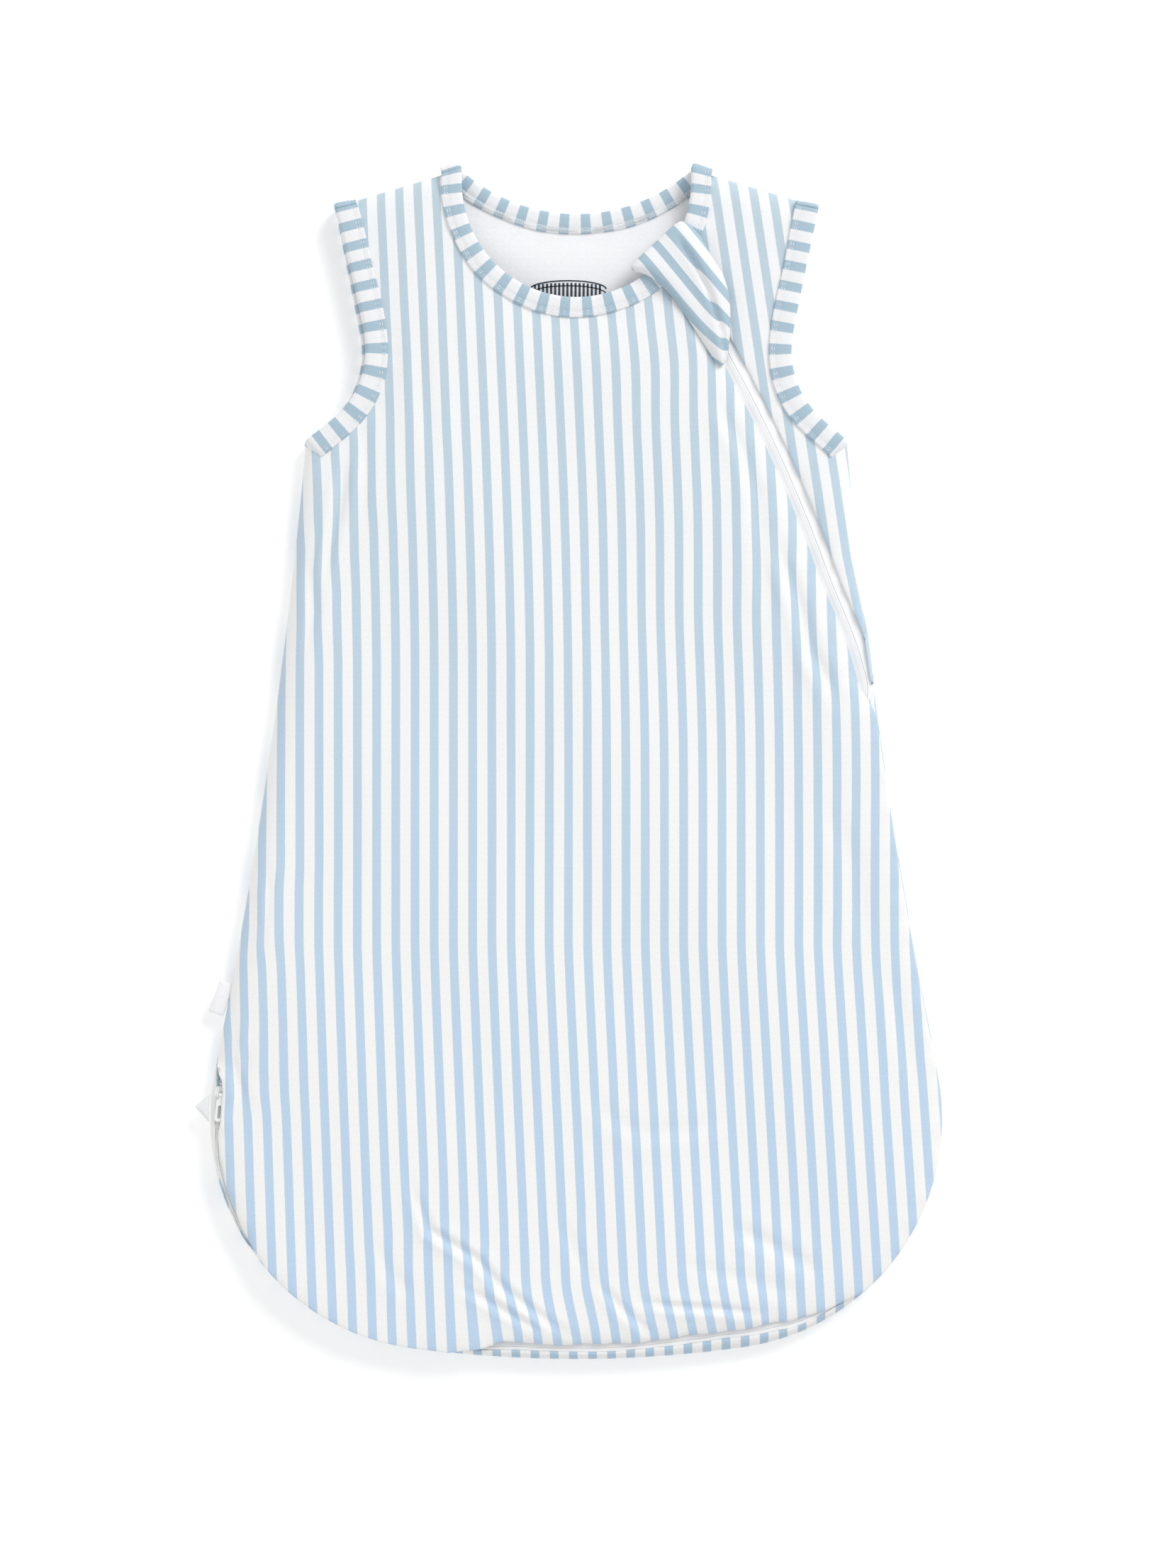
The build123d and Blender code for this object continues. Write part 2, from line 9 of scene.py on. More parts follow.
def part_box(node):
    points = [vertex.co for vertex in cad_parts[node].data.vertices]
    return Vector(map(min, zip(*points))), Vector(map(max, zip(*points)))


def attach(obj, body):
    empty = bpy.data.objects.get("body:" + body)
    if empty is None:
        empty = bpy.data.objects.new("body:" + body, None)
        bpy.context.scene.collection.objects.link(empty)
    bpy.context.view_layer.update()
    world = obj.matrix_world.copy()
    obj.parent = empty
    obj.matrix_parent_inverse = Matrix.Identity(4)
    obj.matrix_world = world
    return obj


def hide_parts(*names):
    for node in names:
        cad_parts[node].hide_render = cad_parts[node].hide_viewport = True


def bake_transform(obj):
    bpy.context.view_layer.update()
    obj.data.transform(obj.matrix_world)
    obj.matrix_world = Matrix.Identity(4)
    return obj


# A padded, sleeveless baby sleeping bag in striped jersey, laid flat on its back.
# Plan sizes and heights below are in millimetres; meshes are made in metres.

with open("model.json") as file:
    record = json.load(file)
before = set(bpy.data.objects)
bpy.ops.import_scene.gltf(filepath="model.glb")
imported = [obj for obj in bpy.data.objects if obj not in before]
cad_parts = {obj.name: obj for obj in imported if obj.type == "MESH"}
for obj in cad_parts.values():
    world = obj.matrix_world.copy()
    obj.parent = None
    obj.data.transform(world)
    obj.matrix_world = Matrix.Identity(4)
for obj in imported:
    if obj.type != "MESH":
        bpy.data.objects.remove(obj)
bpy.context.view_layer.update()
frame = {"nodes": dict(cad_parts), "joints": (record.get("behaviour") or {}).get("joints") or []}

MM = 0.001

# --- striped jersey ------------------------------------------------------------------------------
STRIPE_REPEAT = 11.52  # one blue and one white stripe
STRIPE_START = -62.2  # middle of a blue stripe, at the bag's half height
BAND_REPEAT = 12.3  # stripes run across the bindings
BLUE_SHARE = 0.455

# --- heights -------------------------------------------------------------------------------------
LOFT_TOP = 21.5  # crown of the padded front
SEAM_HEIGHT = 8.5  # where front and back meet at the sides and shoulders
ZIP_EDGE = 15.6  # rolled edge of the front beside the zip
LAP_EDGE = 18.3  # the same where it lies over the zip
SIDE_FLATTER = 2.8  # the narrow panel right of the zip is flatter than the front
TUCK = 1.8  # the shell's edge goes this far under a binding
TAPE_TOP = 14.0
TAPE_UNDER = 13.4
SHELL_THICKNESS = 0.7
LINING_THICKNESS = 0.7
LINING_NET = 8.0  # spacing of the points in wadding and lining
NARROW_CUT = 0.35  # a cut that fills less of its oblong than this is sized by its mean width

# --- zip -----------------------------------------------------------------------------------------
CHAIN_INSET = 6.5
COIL_SPACING = 1.9  # between loops: wider than a real coil, to keep its meshes light
COIL_MIDDLE = 12.65
TAPE_REACH = 10.0


def lin(hex_colour):
    """sRGB hex to a linear colour."""
    parts = [int(hex_colour[i : i + 2], 16) / 255 for i in (1, 3, 5)]
    return [p / 12.92 if p <= 0.04045 else ((p + 0.055) / 1.055) ** 2.4 for p in parts] + [1.0]


def smooth(t):
    t = np.clip(t, 0, 1)
    return t * t * (3 - 2 * t)


def ramp(value, start, end):
    """0 at start, 1 at end, eased between."""
    return smooth((value - start) / (end - start))


def quarter(t):
    """A quarter round: steep at 0, level at 1."""
    return np.sqrt(1 - (1 - np.clip(t, 0, 1)) ** 2)


# --- outlines from the frame ---------------------------------------------------------------------
def outlines(node):
    """Edges in plan of a flat CAD piece: closed runs of points, longest first, counter-clockwise."""
    mesh = frame["nodes"][node].data
    co = np.array([v.co for v in mesh.vertices]) / MM
    floor = co[:, 2].min()
    follows = {}
    sides = set()
    keys = [tuple(np.round(p[:2], 3)) for p in co]
    for face in mesh.polygons:
        loop = list(face.vertices)
        if max(abs(co[i][2] - floor) for i in loop) > 0.02:
            continue
        for a, b in zip(loop, loop[1:] + loop[:1]):
            sides.add((keys[a], keys[b]))
    for a, b in sides:
        if (b, a) not in sides:
            follows[a] = b
    loops = []
    while follows:
        start, point = follows.popitem()
        run = [start]
        while point != start:
            run.append(point)
            point = follows.pop(point)
        run = np.array(run)
        if area_of(run) < 0:
            run = run[::-1]
        loops.append(run)
    return sorted(loops, key=lambda run: -abs(area_of(run)))


def area_of(run):
    x, y = run[:, 0], run[:, 1]
    return 0.5 * float(np.sum(x * np.roll(y, -1) - y * np.roll(x, -1)))


def joint(name):
    return next(j for j in frame["joints"] if j["name"] == name)


fold_point = np.array(joint("front_fold")["pos_m"][:2]) / MM
fold_way = np.array(joint("front_fold")["axis"][:2])
fold_right = np.array([-fold_way[1], fold_way[0]])


def across_fold(left_node, right_node):
    """One outline from the two pieces either side of the fold."""
    left, right = outlines(left_node)[0], outlines(right_node)[0]
    chains = []
    for run in (right, left):
        on_fold = np.abs((run - fold_point) @ fold_right) < 0.5
        start = next(i for i in range(len(run)) if on_fold[i] and on_fold[(i + 1) % len(run)])
        chains.append(np.roll(run, -(start + 1), axis=0))
    return np.vstack(chains)


def evened(run, step, corner=24.0):
    """The same closed outline with its points an even step apart and its corners kept."""
    run = run[np.hypot(*(run - np.roll(run, 1, 0)).T) > 1e-3]
    before, after = run - np.roll(run, 1, 0), np.roll(run, -1, 0) - run
    turn = np.degrees(np.arctan2(before[:, 0] * after[:, 1] - before[:, 1] * after[:, 0],
                                 (before * after).sum(1)))
    corners = [i for i in range(len(run)) if abs(turn[i]) > corner] or [0]
    run = np.roll(run, -corners[0], axis=0)
    corners = [i - corners[0] for i in corners] + [len(run)]
    run = np.vstack([run, run[:1]])
    out = []
    for a, b in zip(corners, corners[1:]):
        piece = run[a : b + 1]
        length = np.concatenate([[0], np.cumsum(np.hypot(*np.diff(piece, axis=0).T))])
        count = max(1, int(round(length[-1] / step)))
        at = np.linspace(0, length[-1], count + 1)[:-1]
        out.append(np.column_stack([np.interp(at, length, piece[:, k]) for k in (0, 1)]))
    return np.vstack(out)


def nearest(points, run, closed=True):
    """For each point: its distance to a run of points, the nearest place, its side and its run length."""
    a = run if closed else run[:-1]
    b = np.roll(run, -1, 0) if closed else run[1:]
    way = b - a
    size = np.maximum((way**2).sum(1), 1e-9)
    started = np.concatenate([[0], np.cumsum(np.sqrt(size))])[:-1]
    distance, place, normal, along = [], [], [], []
    for block in np.array_split(np.asarray(points, float), max(1, len(points) // 1500)):
        off = block[:, None, :] - a
        t = np.clip((off * way).sum(2) / size, 0, 1)
        gap = off - t[..., None] * way
        d2 = (gap**2).sum(2)
        k = d2.argmin(1)
        rows = np.arange(len(block))
        distance.append(np.sqrt(d2[rows, k]))
        place.append(block - gap[rows, k])
        unit = way[k] / np.sqrt(size[k])[:, None]
        normal.append(np.column_stack([unit[:, 1], -unit[:, 0]]))
        along.append(started[k] + t[rows, k] * np.sqrt(size[k]))
    return (np.concatenate(distance), np.vstack(place), np.vstack(normal), np.concatenate(along))


def unique(run, gap=0.4):
    keep = [run[0]]
    for p in run[1:]:
        if np.hypot(*(p - keep[-1])) > gap:
            keep.append(p)
    if np.hypot(*(keep[-1] - keep[0])) < gap:
        keep.pop()
    return np.array(keep)


def even_net(run, step):
    """An even net of points inside an outline."""
    low, high = run.min(0), run.max(0)
    rows = []
    for i, y in enumerate(np.arange(low[1], high[1], step * 0.866)):
        across = np.arange(low[0] + (i % 2) * step / 2, high[0], step)
        rows.append(np.column_stack([across, np.full(len(across), y)]))
    net = np.vstack(rows)
    return net[inside(net, run)]


def filled(run, step, rings=(0.4, 1.2, 2.4, 4.2, 6.6), finer=None):
    """Points and triangles that fill an outline: rings beside its edge, then an even net of triangles."""
    before, after = run - np.roll(run, 1, 0), np.roll(run, -1, 0) - run
    before /= np.hypot(*before.T)[:, None]
    after /= np.hypot(*after.T)[:, None]
    mean = before + after
    mean /= np.maximum(np.hypot(*mean.T), 0.3)[:, None]
    inward = np.column_stack([-mean[:, 1], mean[:, 0]])
    points = [run]
    for ring in rings:
        inset = run + inward * ring
        d = nearest(inset, run)[0]
        inset = inset[d > 0.93 * ring]
        keep = [0]
        least = min(1.0, 0.35 * step)
        for i in range(1, len(inset)):
            if np.hypot(*(inset[i] - inset[keep[-1]])) > least:
                keep.append(i)
        points.append(inset[keep])
    net = even_net(run, step)
    if finer is not None:
        close = even_net(run, step / 2)
        net = np.vstack([net[~finer(net)], close[finer(close)]])
    net = net[nearest(net, run)[0] > (rings[-1] if rings else 0) + 0.55 * step]
    points = np.vstack(points + [net])
    edge = list(range(len(run)))
    result = geometry.delaunay_2d_cdt([Vector(p) for p in points], [], [edge], 1, 1e-4)
    return np.array([tuple(v) for v in result[0]]), [tuple(f) for f in result[2]]


def inside(points, run):
    """Which points are inside an outline."""
    x, y = points[:, 0], points[:, 1]
    count = np.zeros(len(points), int)
    for (ax, ay), (bx, by) in zip(run, np.roll(run, -1, 0)):
        crosses = (ay > y) != (by > y)
        if crosses.any():
            at = ax + (y - ay) * (bx - ax) / (by - ay if by != ay else 1e-9)
            count += crosses & (x < at)
    return count % 2 == 1


# --- making pieces -------------------------------------------------------------------------------
def mesh_piece(name, verts, faces, material, uv=None):
    """A piece from points in millimetres. uv gives each point's place on the cloth, in millimetres."""
    mesh = bpy.data.meshes.new(name)
    mesh.from_pydata([tuple(float(c) * MM for c in v) for v in verts], [], [tuple(f) for f in faces])
    mesh.update()
    if uv is not None:
        layer = mesh.uv_layers.new(name="cloth")
        corner = np.zeros(len(mesh.loops), int)
        mesh.loops.foreach_get("vertex_index", corner)
        layer.data.foreach_set("uv", (np.asarray(uv, float)[corner] * MM).ravel().astype(np.float32))
    piece = bpy.data.objects.new(name, mesh)
    bpy.context.scene.collection.objects.link(piece)
    piece.data.materials.append(material)
    for face in mesh.polygons:
        face.use_smooth = True
    return piece


def finish_with(piece, kind, **settings):
    """Add a modifier and apply it."""
    bpy.ops.object.select_all(action="DESELECT")
    bpy.context.view_layer.objects.active = piece
    piece.select_set(True)
    modifier = piece.modifiers.new(kind, kind)
    for key, value in settings.items():
        setattr(modifier, key, value)
    bpy.ops.object.modifier_apply(modifier=modifier.name)
    return piece


# --- materials -----------------------------------------------------------------------------------
def add(nodes, kind, settings=None, links=None):
    """Add a node, set its values and link its inputs."""
    made = nodes.new(kind)
    for key, value in (settings or {}).items():
        if isinstance(key, str) and hasattr(made, key):
            setattr(made, key, value)
        else:
            made.inputs[key].default_value = value
    for key, source in (links or {}).items():
        nodes.id_data.links.new(source, made.inputs[key])
    return made


def material(name, **shader):
    made = bpy.data.materials.new(name)
    made.use_nodes = True
    nodes = made.node_tree.nodes
    principled = nodes["Principled BSDF"]
    for key, value in shader.items():
        principled.inputs[key.replace("_", " ")].default_value = value
    return made, nodes, principled, made.node_tree.links


def knit(nodes, cloth, colour, depth=0.2):
    """Jersey's fine ribs, and the uneven dye of its yarn. The ribs are drawn coarser than the real
    0.6 mm loops, or they wouldn't show."""
    wales = add(nodes, "ShaderNodeTexWave",
                {"wave_type": "BANDS", "bands_direction": "X", "Scale": 1 / (2 * pi * 1.3 * MM) * 0.5,
                                             "Distortion": 1.5, "Detail": 2.0, "Detail Scale": 1.5},
                {"Vector": cloth})
    courses = add(nodes, "ShaderNodeTexWave",
                  {"wave_type": "BANDS", "bands_direction": "Y", "Scale": 1 / (2 * pi * 1.0 * MM) * 0.5,
                                               "Distortion": 2.0, "Detail": 2.0, "Detail Scale": 1.5},
                  {"Vector": cloth})
    loops = add(nodes, "ShaderNodeMath", {"operation": "MULTIPLY"},
                {0: wales.outputs["Fac"], 1: courses.outputs["Fac"]})
    stretch = add(nodes, "ShaderNodeMapping", {"Scale": (1 / (1.1 * MM), 1 / (0.65 * MM), 1 / (0.8 * MM))},
                  {"Vector": cloth})
    yarn = add(nodes, "ShaderNodeTexNoise", {"Scale": 1.0, "Detail": 3.0, "Roughness": 0.6},
               {"Vector": stretch.outputs[0]})
    tone = add(nodes, "ShaderNodeMapRange",
               {"From Min": 0.3, "From Max": 0.7, "To Min": 0.95, "To Max": 1.04},
               {"Value": yarn.outputs["Fac"]})
    mixed = add(nodes, "ShaderNodeMix", {"data_type": "RGBA", "blend_type": "MULTIPLY", 0: 1.0})
    nodes.id_data.links.new(colour, mixed.inputs[6])
    grey = add(nodes, "ShaderNodeCombineColor", None,
               {0: tone.outputs[0], 1: tone.outputs[0], 2: tone.outputs[0]})
    nodes.id_data.links.new(grey.outputs[0], mixed.inputs[7])
    height = add(nodes, "ShaderNodeMath", {"operation": "ADD"}, {0: loops.outputs[0], 1: yarn.outputs["Fac"]})
    bump = add(nodes, "ShaderNodeBump", {"Strength": depth, "Distance": 0.25 * MM},
               {"Height": height.outputs[0]})
    return mixed.outputs[2], bump.outputs[0]


def striped_jersey(name, repeat, blues, whites):
    """Yarn-dyed cotton jersey: soft, matt, with a faint fuzz that catches light at grazing angles.
    Its two stripe colours are blended from one pair at the hem to another pair at the neck."""
    made, nodes, principled, links = material(name, Roughness=0.88, Sheen_Weight=0.12, Sheen_Roughness=0.5)
    principled.inputs["Specular IOR Level"].default_value = 0.2
    cloth = add(nodes, "ShaderNodeUVMap", {"uv_map": "cloth"}).outputs[0]
    place = add(nodes, "ShaderNodeSeparateXYZ", None, {0: cloth})
    wobble = add(nodes, "ShaderNodeTexNoise", {"Scale": 1 / (1.6 * MM), "Detail": 1.0}, {"Vector": cloth})
    shifted = add(nodes, "ShaderNodeMath", {"operation": "MULTIPLY_ADD", 1: 0.22 * MM},
                  {0: wobble.outputs["Fac"], 2: place.outputs[0]})
    turns = add(nodes, "ShaderNodeMath", {"operation": "DIVIDE", 1: repeat * MM}, {0: shifted.outputs[0]})
    part = add(nodes, "ShaderNodeMath", {"operation": "PINGPONG", 1: 0.5}, {0: turns.outputs[0]})
    stripe = add(nodes, "ShaderNodeMapRange",
                 {"From Min": BLUE_SHARE / 2 - 0.018, "From Max": BLUE_SHARE / 2 + 0.018,
                                               "To Min": 1.0, "To Max": 0.0}, {"Value": part.outputs[0]})
    along = add(nodes, "ShaderNodeMapRange", {"From Min": -0.30, "From Max": 0.33},
                {"Value": place.outputs[1]})
    blue = add(nodes, "ShaderNodeMix", {"data_type": "RGBA", 6: lin(blues[0]), 7: lin(blues[1])},
               {0: along.outputs[0]})
    white = add(nodes, "ShaderNodeMix", {"data_type": "RGBA", 6: lin(whites[0]), 7: lin(whites[1])},
                {0: along.outputs[0]})
    both = add(nodes, "ShaderNodeMix", {"data_type": "RGBA"},
               {0: stripe.outputs[0], 6: white.outputs[2], 7: blue.outputs[2]})
    colour, bump = knit(nodes, cloth, both.outputs[2])
    links.new(colour, principled.inputs["Base Color"])
    links.new(bump, principled.inputs["Normal"])
    return made


def plain_cloth(name, colour, depth=0.2, **shader):
    made, nodes, principled, links = material(name, Roughness=0.9, Sheen_Weight=0.1, **shader)
    principled.inputs["Specular IOR Level"].default_value = 0.2
    cloth = add(nodes, "ShaderNodeTexCoord").outputs["Object"]
    tint = add(nodes, "ShaderNodeRGB")
    tint.outputs[0].default_value = lin(colour)
    shade, bump = knit(nodes, cloth, tint.outputs[0], depth)
    links.new(shade, principled.inputs["Base Color"])
    links.new(bump, principled.inputs["Normal"])
    return made


def zip_ribbon(name, colour):
    """Woven polyester zip tape: fine ribs along it, painted a little darker in their troughs as painted
    shade, and beside the chain the dots of the stitching that holds the coil, drawn at 1.6 mm so that they
    show."""
    made, nodes, principled, links = material(name, Roughness=0.62)
    cloth = add(nodes, "ShaderNodeUVMap", {"uv_map": "cloth"}).outputs[0]
    ribs = add(nodes, "ShaderNodeTexWave",
               {"wave_type": "BANDS", "bands_direction": "Y", "Scale": 1 / (2 * pi * 1.5 * MM),
                                            "Distortion": 0.4}, {"Vector": cloth})
    place = add(nodes, "ShaderNodeSeparateXYZ", None, {0: cloth})
    off = add(nodes, "ShaderNodeMath", {"operation": "SUBTRACT", 1: 1.1 * MM}, {0: place.outputs[1]})
    away = add(nodes, "ShaderNodeMath", {"operation": "ABSOLUTE"}, {0: off.outputs[0]})
    row = add(nodes, "ShaderNodeMapRange",
              {"From Min": 0.25 * MM, "From Max": 0.55 * MM, "To Min": 1.0, "To Max": 0.0},
              {"Value": away.outputs[0]})
    turns = add(nodes, "ShaderNodeMath", {"operation": "DIVIDE", 1: 1.6 * MM}, {0: place.outputs[0]})
    beat = add(nodes, "ShaderNodeMath", {"operation": "PINGPONG", 1: 0.5}, {0: turns.outputs[0]})
    dots = add(nodes, "ShaderNodeMapRange", {"From Min": 0.14, "From Max": 0.3}, {"Value": beat.outputs[0]})
    stitch = add(nodes, "ShaderNodeMath", {"operation": "MULTIPLY"}, {0: row.outputs[0], 1: dots.outputs[0]})
    # The ribs' troughs take the darker colour: painted shade.
    shade = add(nodes, "ShaderNodeMix", {"data_type": "RGBA", 6: lin("#F0F1F2"), 7: lin(colour)},
                {0: ribs.outputs["Fac"]})
    dotted = add(nodes, "ShaderNodeMix", {"data_type": "RGBA", 7: lin("#E9EBED")},
                 {0: stitch.outputs[0], 6: shade.outputs[2]})
    height = add(nodes, "ShaderNodeMath", {"operation": "SUBTRACT"},
                 {0: ribs.outputs["Fac"], 1: stitch.outputs[0]})
    bump = add(nodes, "ShaderNodeBump", {"Strength": 0.3, "Distance": 0.15 * MM},
               {"Height": height.outputs[0]})
    links.new(dotted.outputs[2], principled.inputs["Base Color"])
    links.new(bump.outputs[0], principled.inputs["Normal"])
    return made


def moulded(name, colour, roughness, grain):
    """Smooth moulded or enamelled part with a trace of unevenness."""
    made, nodes, principled, links = material(name, Roughness=roughness)
    place = add(nodes, "ShaderNodeTexCoord").outputs["Object"]
    noise = add(nodes, "ShaderNodeTexNoise", {"Scale": 1 / (grain * MM), "Detail": 2.0}, {"Vector": place})
    shade = add(nodes, "ShaderNodeMix",
                {"data_type": "RGBA", 6: [c * 0.93 for c in lin(colour)[:3]] + [1], 7: lin(colour)},
                {0: noise.outputs["Fac"]})
    bump = add(nodes, "ShaderNodeBump", {"Strength": 0.08, "Distance": 0.1 * MM},
               {"Height": noise.outputs["Fac"]})
    links.new(shade.outputs[2], principled.inputs["Base Color"])
    links.new(bump.outputs[0], principled.inputs["Normal"])
    return made


striped = striped_jersey("yarn_dyed_jersey", STRIPE_REPEAT, ("#BED5EC", "#BBCDD7"), ("#F4F4F2", "#EDEEEF"))
# The back is the front's jersey in darker, greyer colours: painted shade for its rolled rim, which lies in
# the front's shadow. The whole back cloth gets these colours.
shaded_back_jersey = striped_jersey("yarn_dyed_jersey_back_painted_shade", STRIPE_REPEAT, ("#AFC7DA", "#B5C8D4"),
                              ("#EEEEEC", "#EBECED"))
band_cloth = striped_jersey("binding_jersey", BAND_REPEAT, ("#A8BFCD", "#A8BFCD"), ("#EBECEE", "#EBECEE"))
lining_cloth = plain_cloth("white_jersey_lining", "#EBECEE")
fluff = plain_cloth("polyester_wadding", "#F4F4F2", depth=0.8)
ribbon_cloth = plain_cloth("satin_ribbon", "#F3F2F4", depth=0.15, Coat_Weight=0.0)
tape_cloth = zip_ribbon("woven_zip_tape", "#F8F8F8")
nylon = moulded("nylon_coil", "#EDEFF1", 0.38, 1.5)
enamel = moulded("white_enamel", "#F2F3F3", 0.25, 2.5)
thread = plain_cloth("polyester_thread", "#EEF1F4", depth=0.1)
looper_thread = plain_cloth("looper_thread", "#EEF2F4", depth=0.1)
ink = moulded("printed_ink", "#35414F", 0.8, 1.0)

# --- the bag's own lines -------------------------------------------------------------------------
garment = evened(outlines("back_wadding")[0], 3.0)
back_cut = evened(outlines("back_shell")[0], 3.0)
front_cut = evened(across_fold("front_left_shell", "front_shell"), 3.0)
front_full = evened(across_fold("front_left_wadding", "front_wadding"), 3.0)
side_cut = evened(outlines("side_shell")[0], 3.0)

zip_middle = np.array(joint("upper_slider_run")["pos_m"][:2]) / MM
upper_stop = np.array(joint("upper_pull_swing")["pos_m"][:2]) / MM
zip_bend = float(np.hypot(*(upper_stop - zip_middle)))
zip_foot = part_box("front_zip_coil_end")[1][1] / MM  # height up the bag at which the zip ends
side_turn = 45.0


# Along the hem the zip strays inwards and shows: how far in from the outline the padded edge of the
# front stops, at places across the bag from left to right.
HEM_PLACES = (-78, -58, -44, 20, 92, 122, 150, 174)
HEM_SHOWS = (1.2, 5.5, 10.2, 9.8, 12.6, 11.2, 7.0, 1.2)
CHAIN_FROM_EDGE = 2.6
# The same up the left corner, past the lower slider to the side seam.
CORNER_PLACES = (-306, -290, -272, -255, -223, -214, -195, -190, -185, -180, -174, -105)
CORNER_SHOWS = (0, 1.4, 2.6, 3.2, 3.6, 6.4, 6.2, 4.6, 1.2, -0.6, -1.2, -1.2)


def chain_inset(x, y):
    """How far in from the outline the chain lies."""
    if x < -100:
        return CHAIN_INSET - 3.2 * float(np.interp(y, (-306, -290, -240, -212), (0, 1, 1, 0)))
    if y > -240:
        return CHAIN_INSET
    return max(CHAIN_INSET, float(np.interp(x, HEM_PLACES, HEM_SHOWS)) - CHAIN_FROM_EDGE)


def lap_inset(x, y):
    """How far in from the outline the front's padded edge stops. Away from the hem it laps the zip."""
    hem = np.interp(x, HEM_PLACES, HEM_SHOWS) + 0.5 * np.sin(x / 8.5) + 0.3 * np.sin(x / 3.7 + 1)
    lap = np.where((y < -240) & (x > -78) & (x < 174), hem, 1.2 + 0 * x)
    corner = (x < -150) & (y < -90)
    lap = lap + corner * np.interp(y, CORNER_PLACES, CORNER_SHOWS)
    upper_right = (x > 100) * ramp(y, 30, 50)
    return lap + upper_right * 7.6


def drifted(run, zipped):
    """Near its foot the zip leans a little further out than a true arc, and takes its cloth edges along."""
    amount = 3.4 * ramp(-run[:, 1], -118, -66) * (1 - ramp(-run[:, 1], -50, -34)) * (run[:, 0] > 100)
    return run + np.column_stack([amount * zipped, 0 * amount])


def lapped(run):
    """Move the edge that lies along the hem zip to where the padding really reaches."""
    run = run.copy()
    d, place, normal, _ = nearest(run, garment)
    low = (place[:, 1] < side_turn + 1) & (d > 0.8) & (run[:, 1] < side_turn + 8)
    low |= (run[:, 0] < -150) & (run[:, 1] < -106)
    target = place - normal * lap_inset(place[:, 0], place[:, 1])[:, None]
    run[low] = target[low]
    return unique(run, 0.8)


chain = []
angle = atan2(*(upper_stop - zip_middle)[::-1]) + 9.0 / zip_bend
while True:
    point = zip_middle + zip_bend * np.array([cos(angle), sin(angle)])
    if nearest([point], garment)[0][0] < CHAIN_INSET or point[1] < side_turn:
        break
    chain.append(point)
    angle -= 3.0 / zip_bend
d, place, normal, _ = nearest(garment, garment)
start = int(np.argmin(np.hypot(*(garment - chain[-1]).T)))
around = np.roll(garment, -start - 1, axis=0)[::-1]
turn_n = nearest(around, garment)[2]
for q, n in zip(around, turn_n):
    if q[0] < 0 and q[1] > zip_foot:
        break
    chain.append(q - n * chain_inset(*q))
chain = np.array(chain)
step = np.hypot(*np.diff(chain, axis=0).T)
chain = chain[np.concatenate([[True], step > 0.5])]
chain = drifted(chain, np.ones(len(chain)))
for _ in range(3):
    chain[1:-1] = (chain[:-2] + 2 * chain[1:-1] + chain[2:]) / 4

# --- cloth heights -------------------------------------------------------------------------------
# Creases in the padded front: a line of points, half width, depth.
CREASES = (
    (((-138, 190), (-142, 158), (-148, 130), (-153, 104)), 3.2, 1.9),
    (((-152, 150), (-160, 118), (-158, 92), (-163, 60)), 3.6, 1.5),
    (((-128, 210), (-126, 170), (-131, 140)), 3.0, 1.0),
    (((-196, -62), (-194, -96), (-199, -124)), 3.4, 1.6),
    (((-184, -58), (-186, -92), (-192, -118)), 3.0, 1.1),
    (((-203, -150), (-207, -176), (-203, -196), (-206, -214)), 2.8, 1.9),
    (((-196, -168), (-201, -190), (-199, -212)), 3.4, 1.2),
    (((-95, 280), (-93, 240), (-88, 178)), 4.5, 0.8),
    (((-34, 286), (-6, 274), (26, 268), (52, 272)), 3.4, 1.0),
    (((-52, 292), (-30, 272), (2, 262)), 4.0, 0.7),
    (((52, 296), (70, 270), (88, 236)), 3.2, 1.4),
    (((84, 222), (101, 186), (112, 150)), 4.0, 1.2),
    (((119, 147), (124, 122), (134, 95), (141, 68), (152, 47), (161, 28)), 4.2, 1.9),
    (((104, 178), (112, 132), (116, 88)), 5.0, 1.0),
    (((150, -20), (166, -60), (170, -110)), 6.0, 0.8),
    (((186, -120), (196, -158), (204, -196)), 5.0, 0.9),
    (((-34, 30), (-36, -90), (-34, -206)), 6.0, 0.5),
    (((-2, 40), (-1, -70)), 6.0, 0.4),
    (((3, -190), (18, -211), (40, -222), (72, -219), (96, -207)), 4.5, 0.75),
    (((-12, -272), (2, -297), (8, -314)), 3.4, 0.9),
    (((-103, -244), (-88, -280), (-60, -297), (-45, -314), (-16, -336), (6, -348)), 2.6, 2.0),
    (((-72, -312), (-40, -330), (-14, -345)), 2.4, 1.4),
    (((12, -310), (28, -328), (50, -346)), 2.6, 1.3),
    (((34, -322), (58, -326), (86, -327), (118, -331)), 2.3, 1.7),
    (((88, -276), (120, -290), (150, -308)), 4.6, 1.2),
    (((60, -300), (104, -310), (140, -322)), 4.0, 1.0),
    (((-120, -286), (-112, -306), (-96, -322)), 4.2, 1.0),
)


def creased(x, y):
    """What the creases take off the height, and how far they carry the stripes sideways."""
    points = np.column_stack([x, y])
    drop, shift = np.zeros(len(x)), np.zeros(len(x))
    for line, width, depth in CREASES:
        line = np.array(line, float)
        length = np.hypot(*np.diff(line, axis=0).T).sum()
        d, place, normal, along = nearest(points, line, closed=False)
        side = ((points - place) * normal).sum(1)
        side = np.where(np.abs(side) > 0.5 * d, side, np.sign(side) * d)
        t = along / length
        window = ramp(t, -0.02, 0.3) * (1 - ramp(t, 0.7, 1.02))
        drop += depth * window * (np.exp(-((side / width) ** 2)) - 0.6
                                  * np.exp(-(((side - 1.9 * width) / (1.2 * width)) ** 2))
                                  - 0.35 * np.exp(-(((side + 2.1 * width) / (1.4 * width)) ** 2)))
        shift += 0.8 * depth * window * np.tanh(side / width) * np.exp(-np.abs(side) / 16) * normal[:, 0]
    return drop, shift


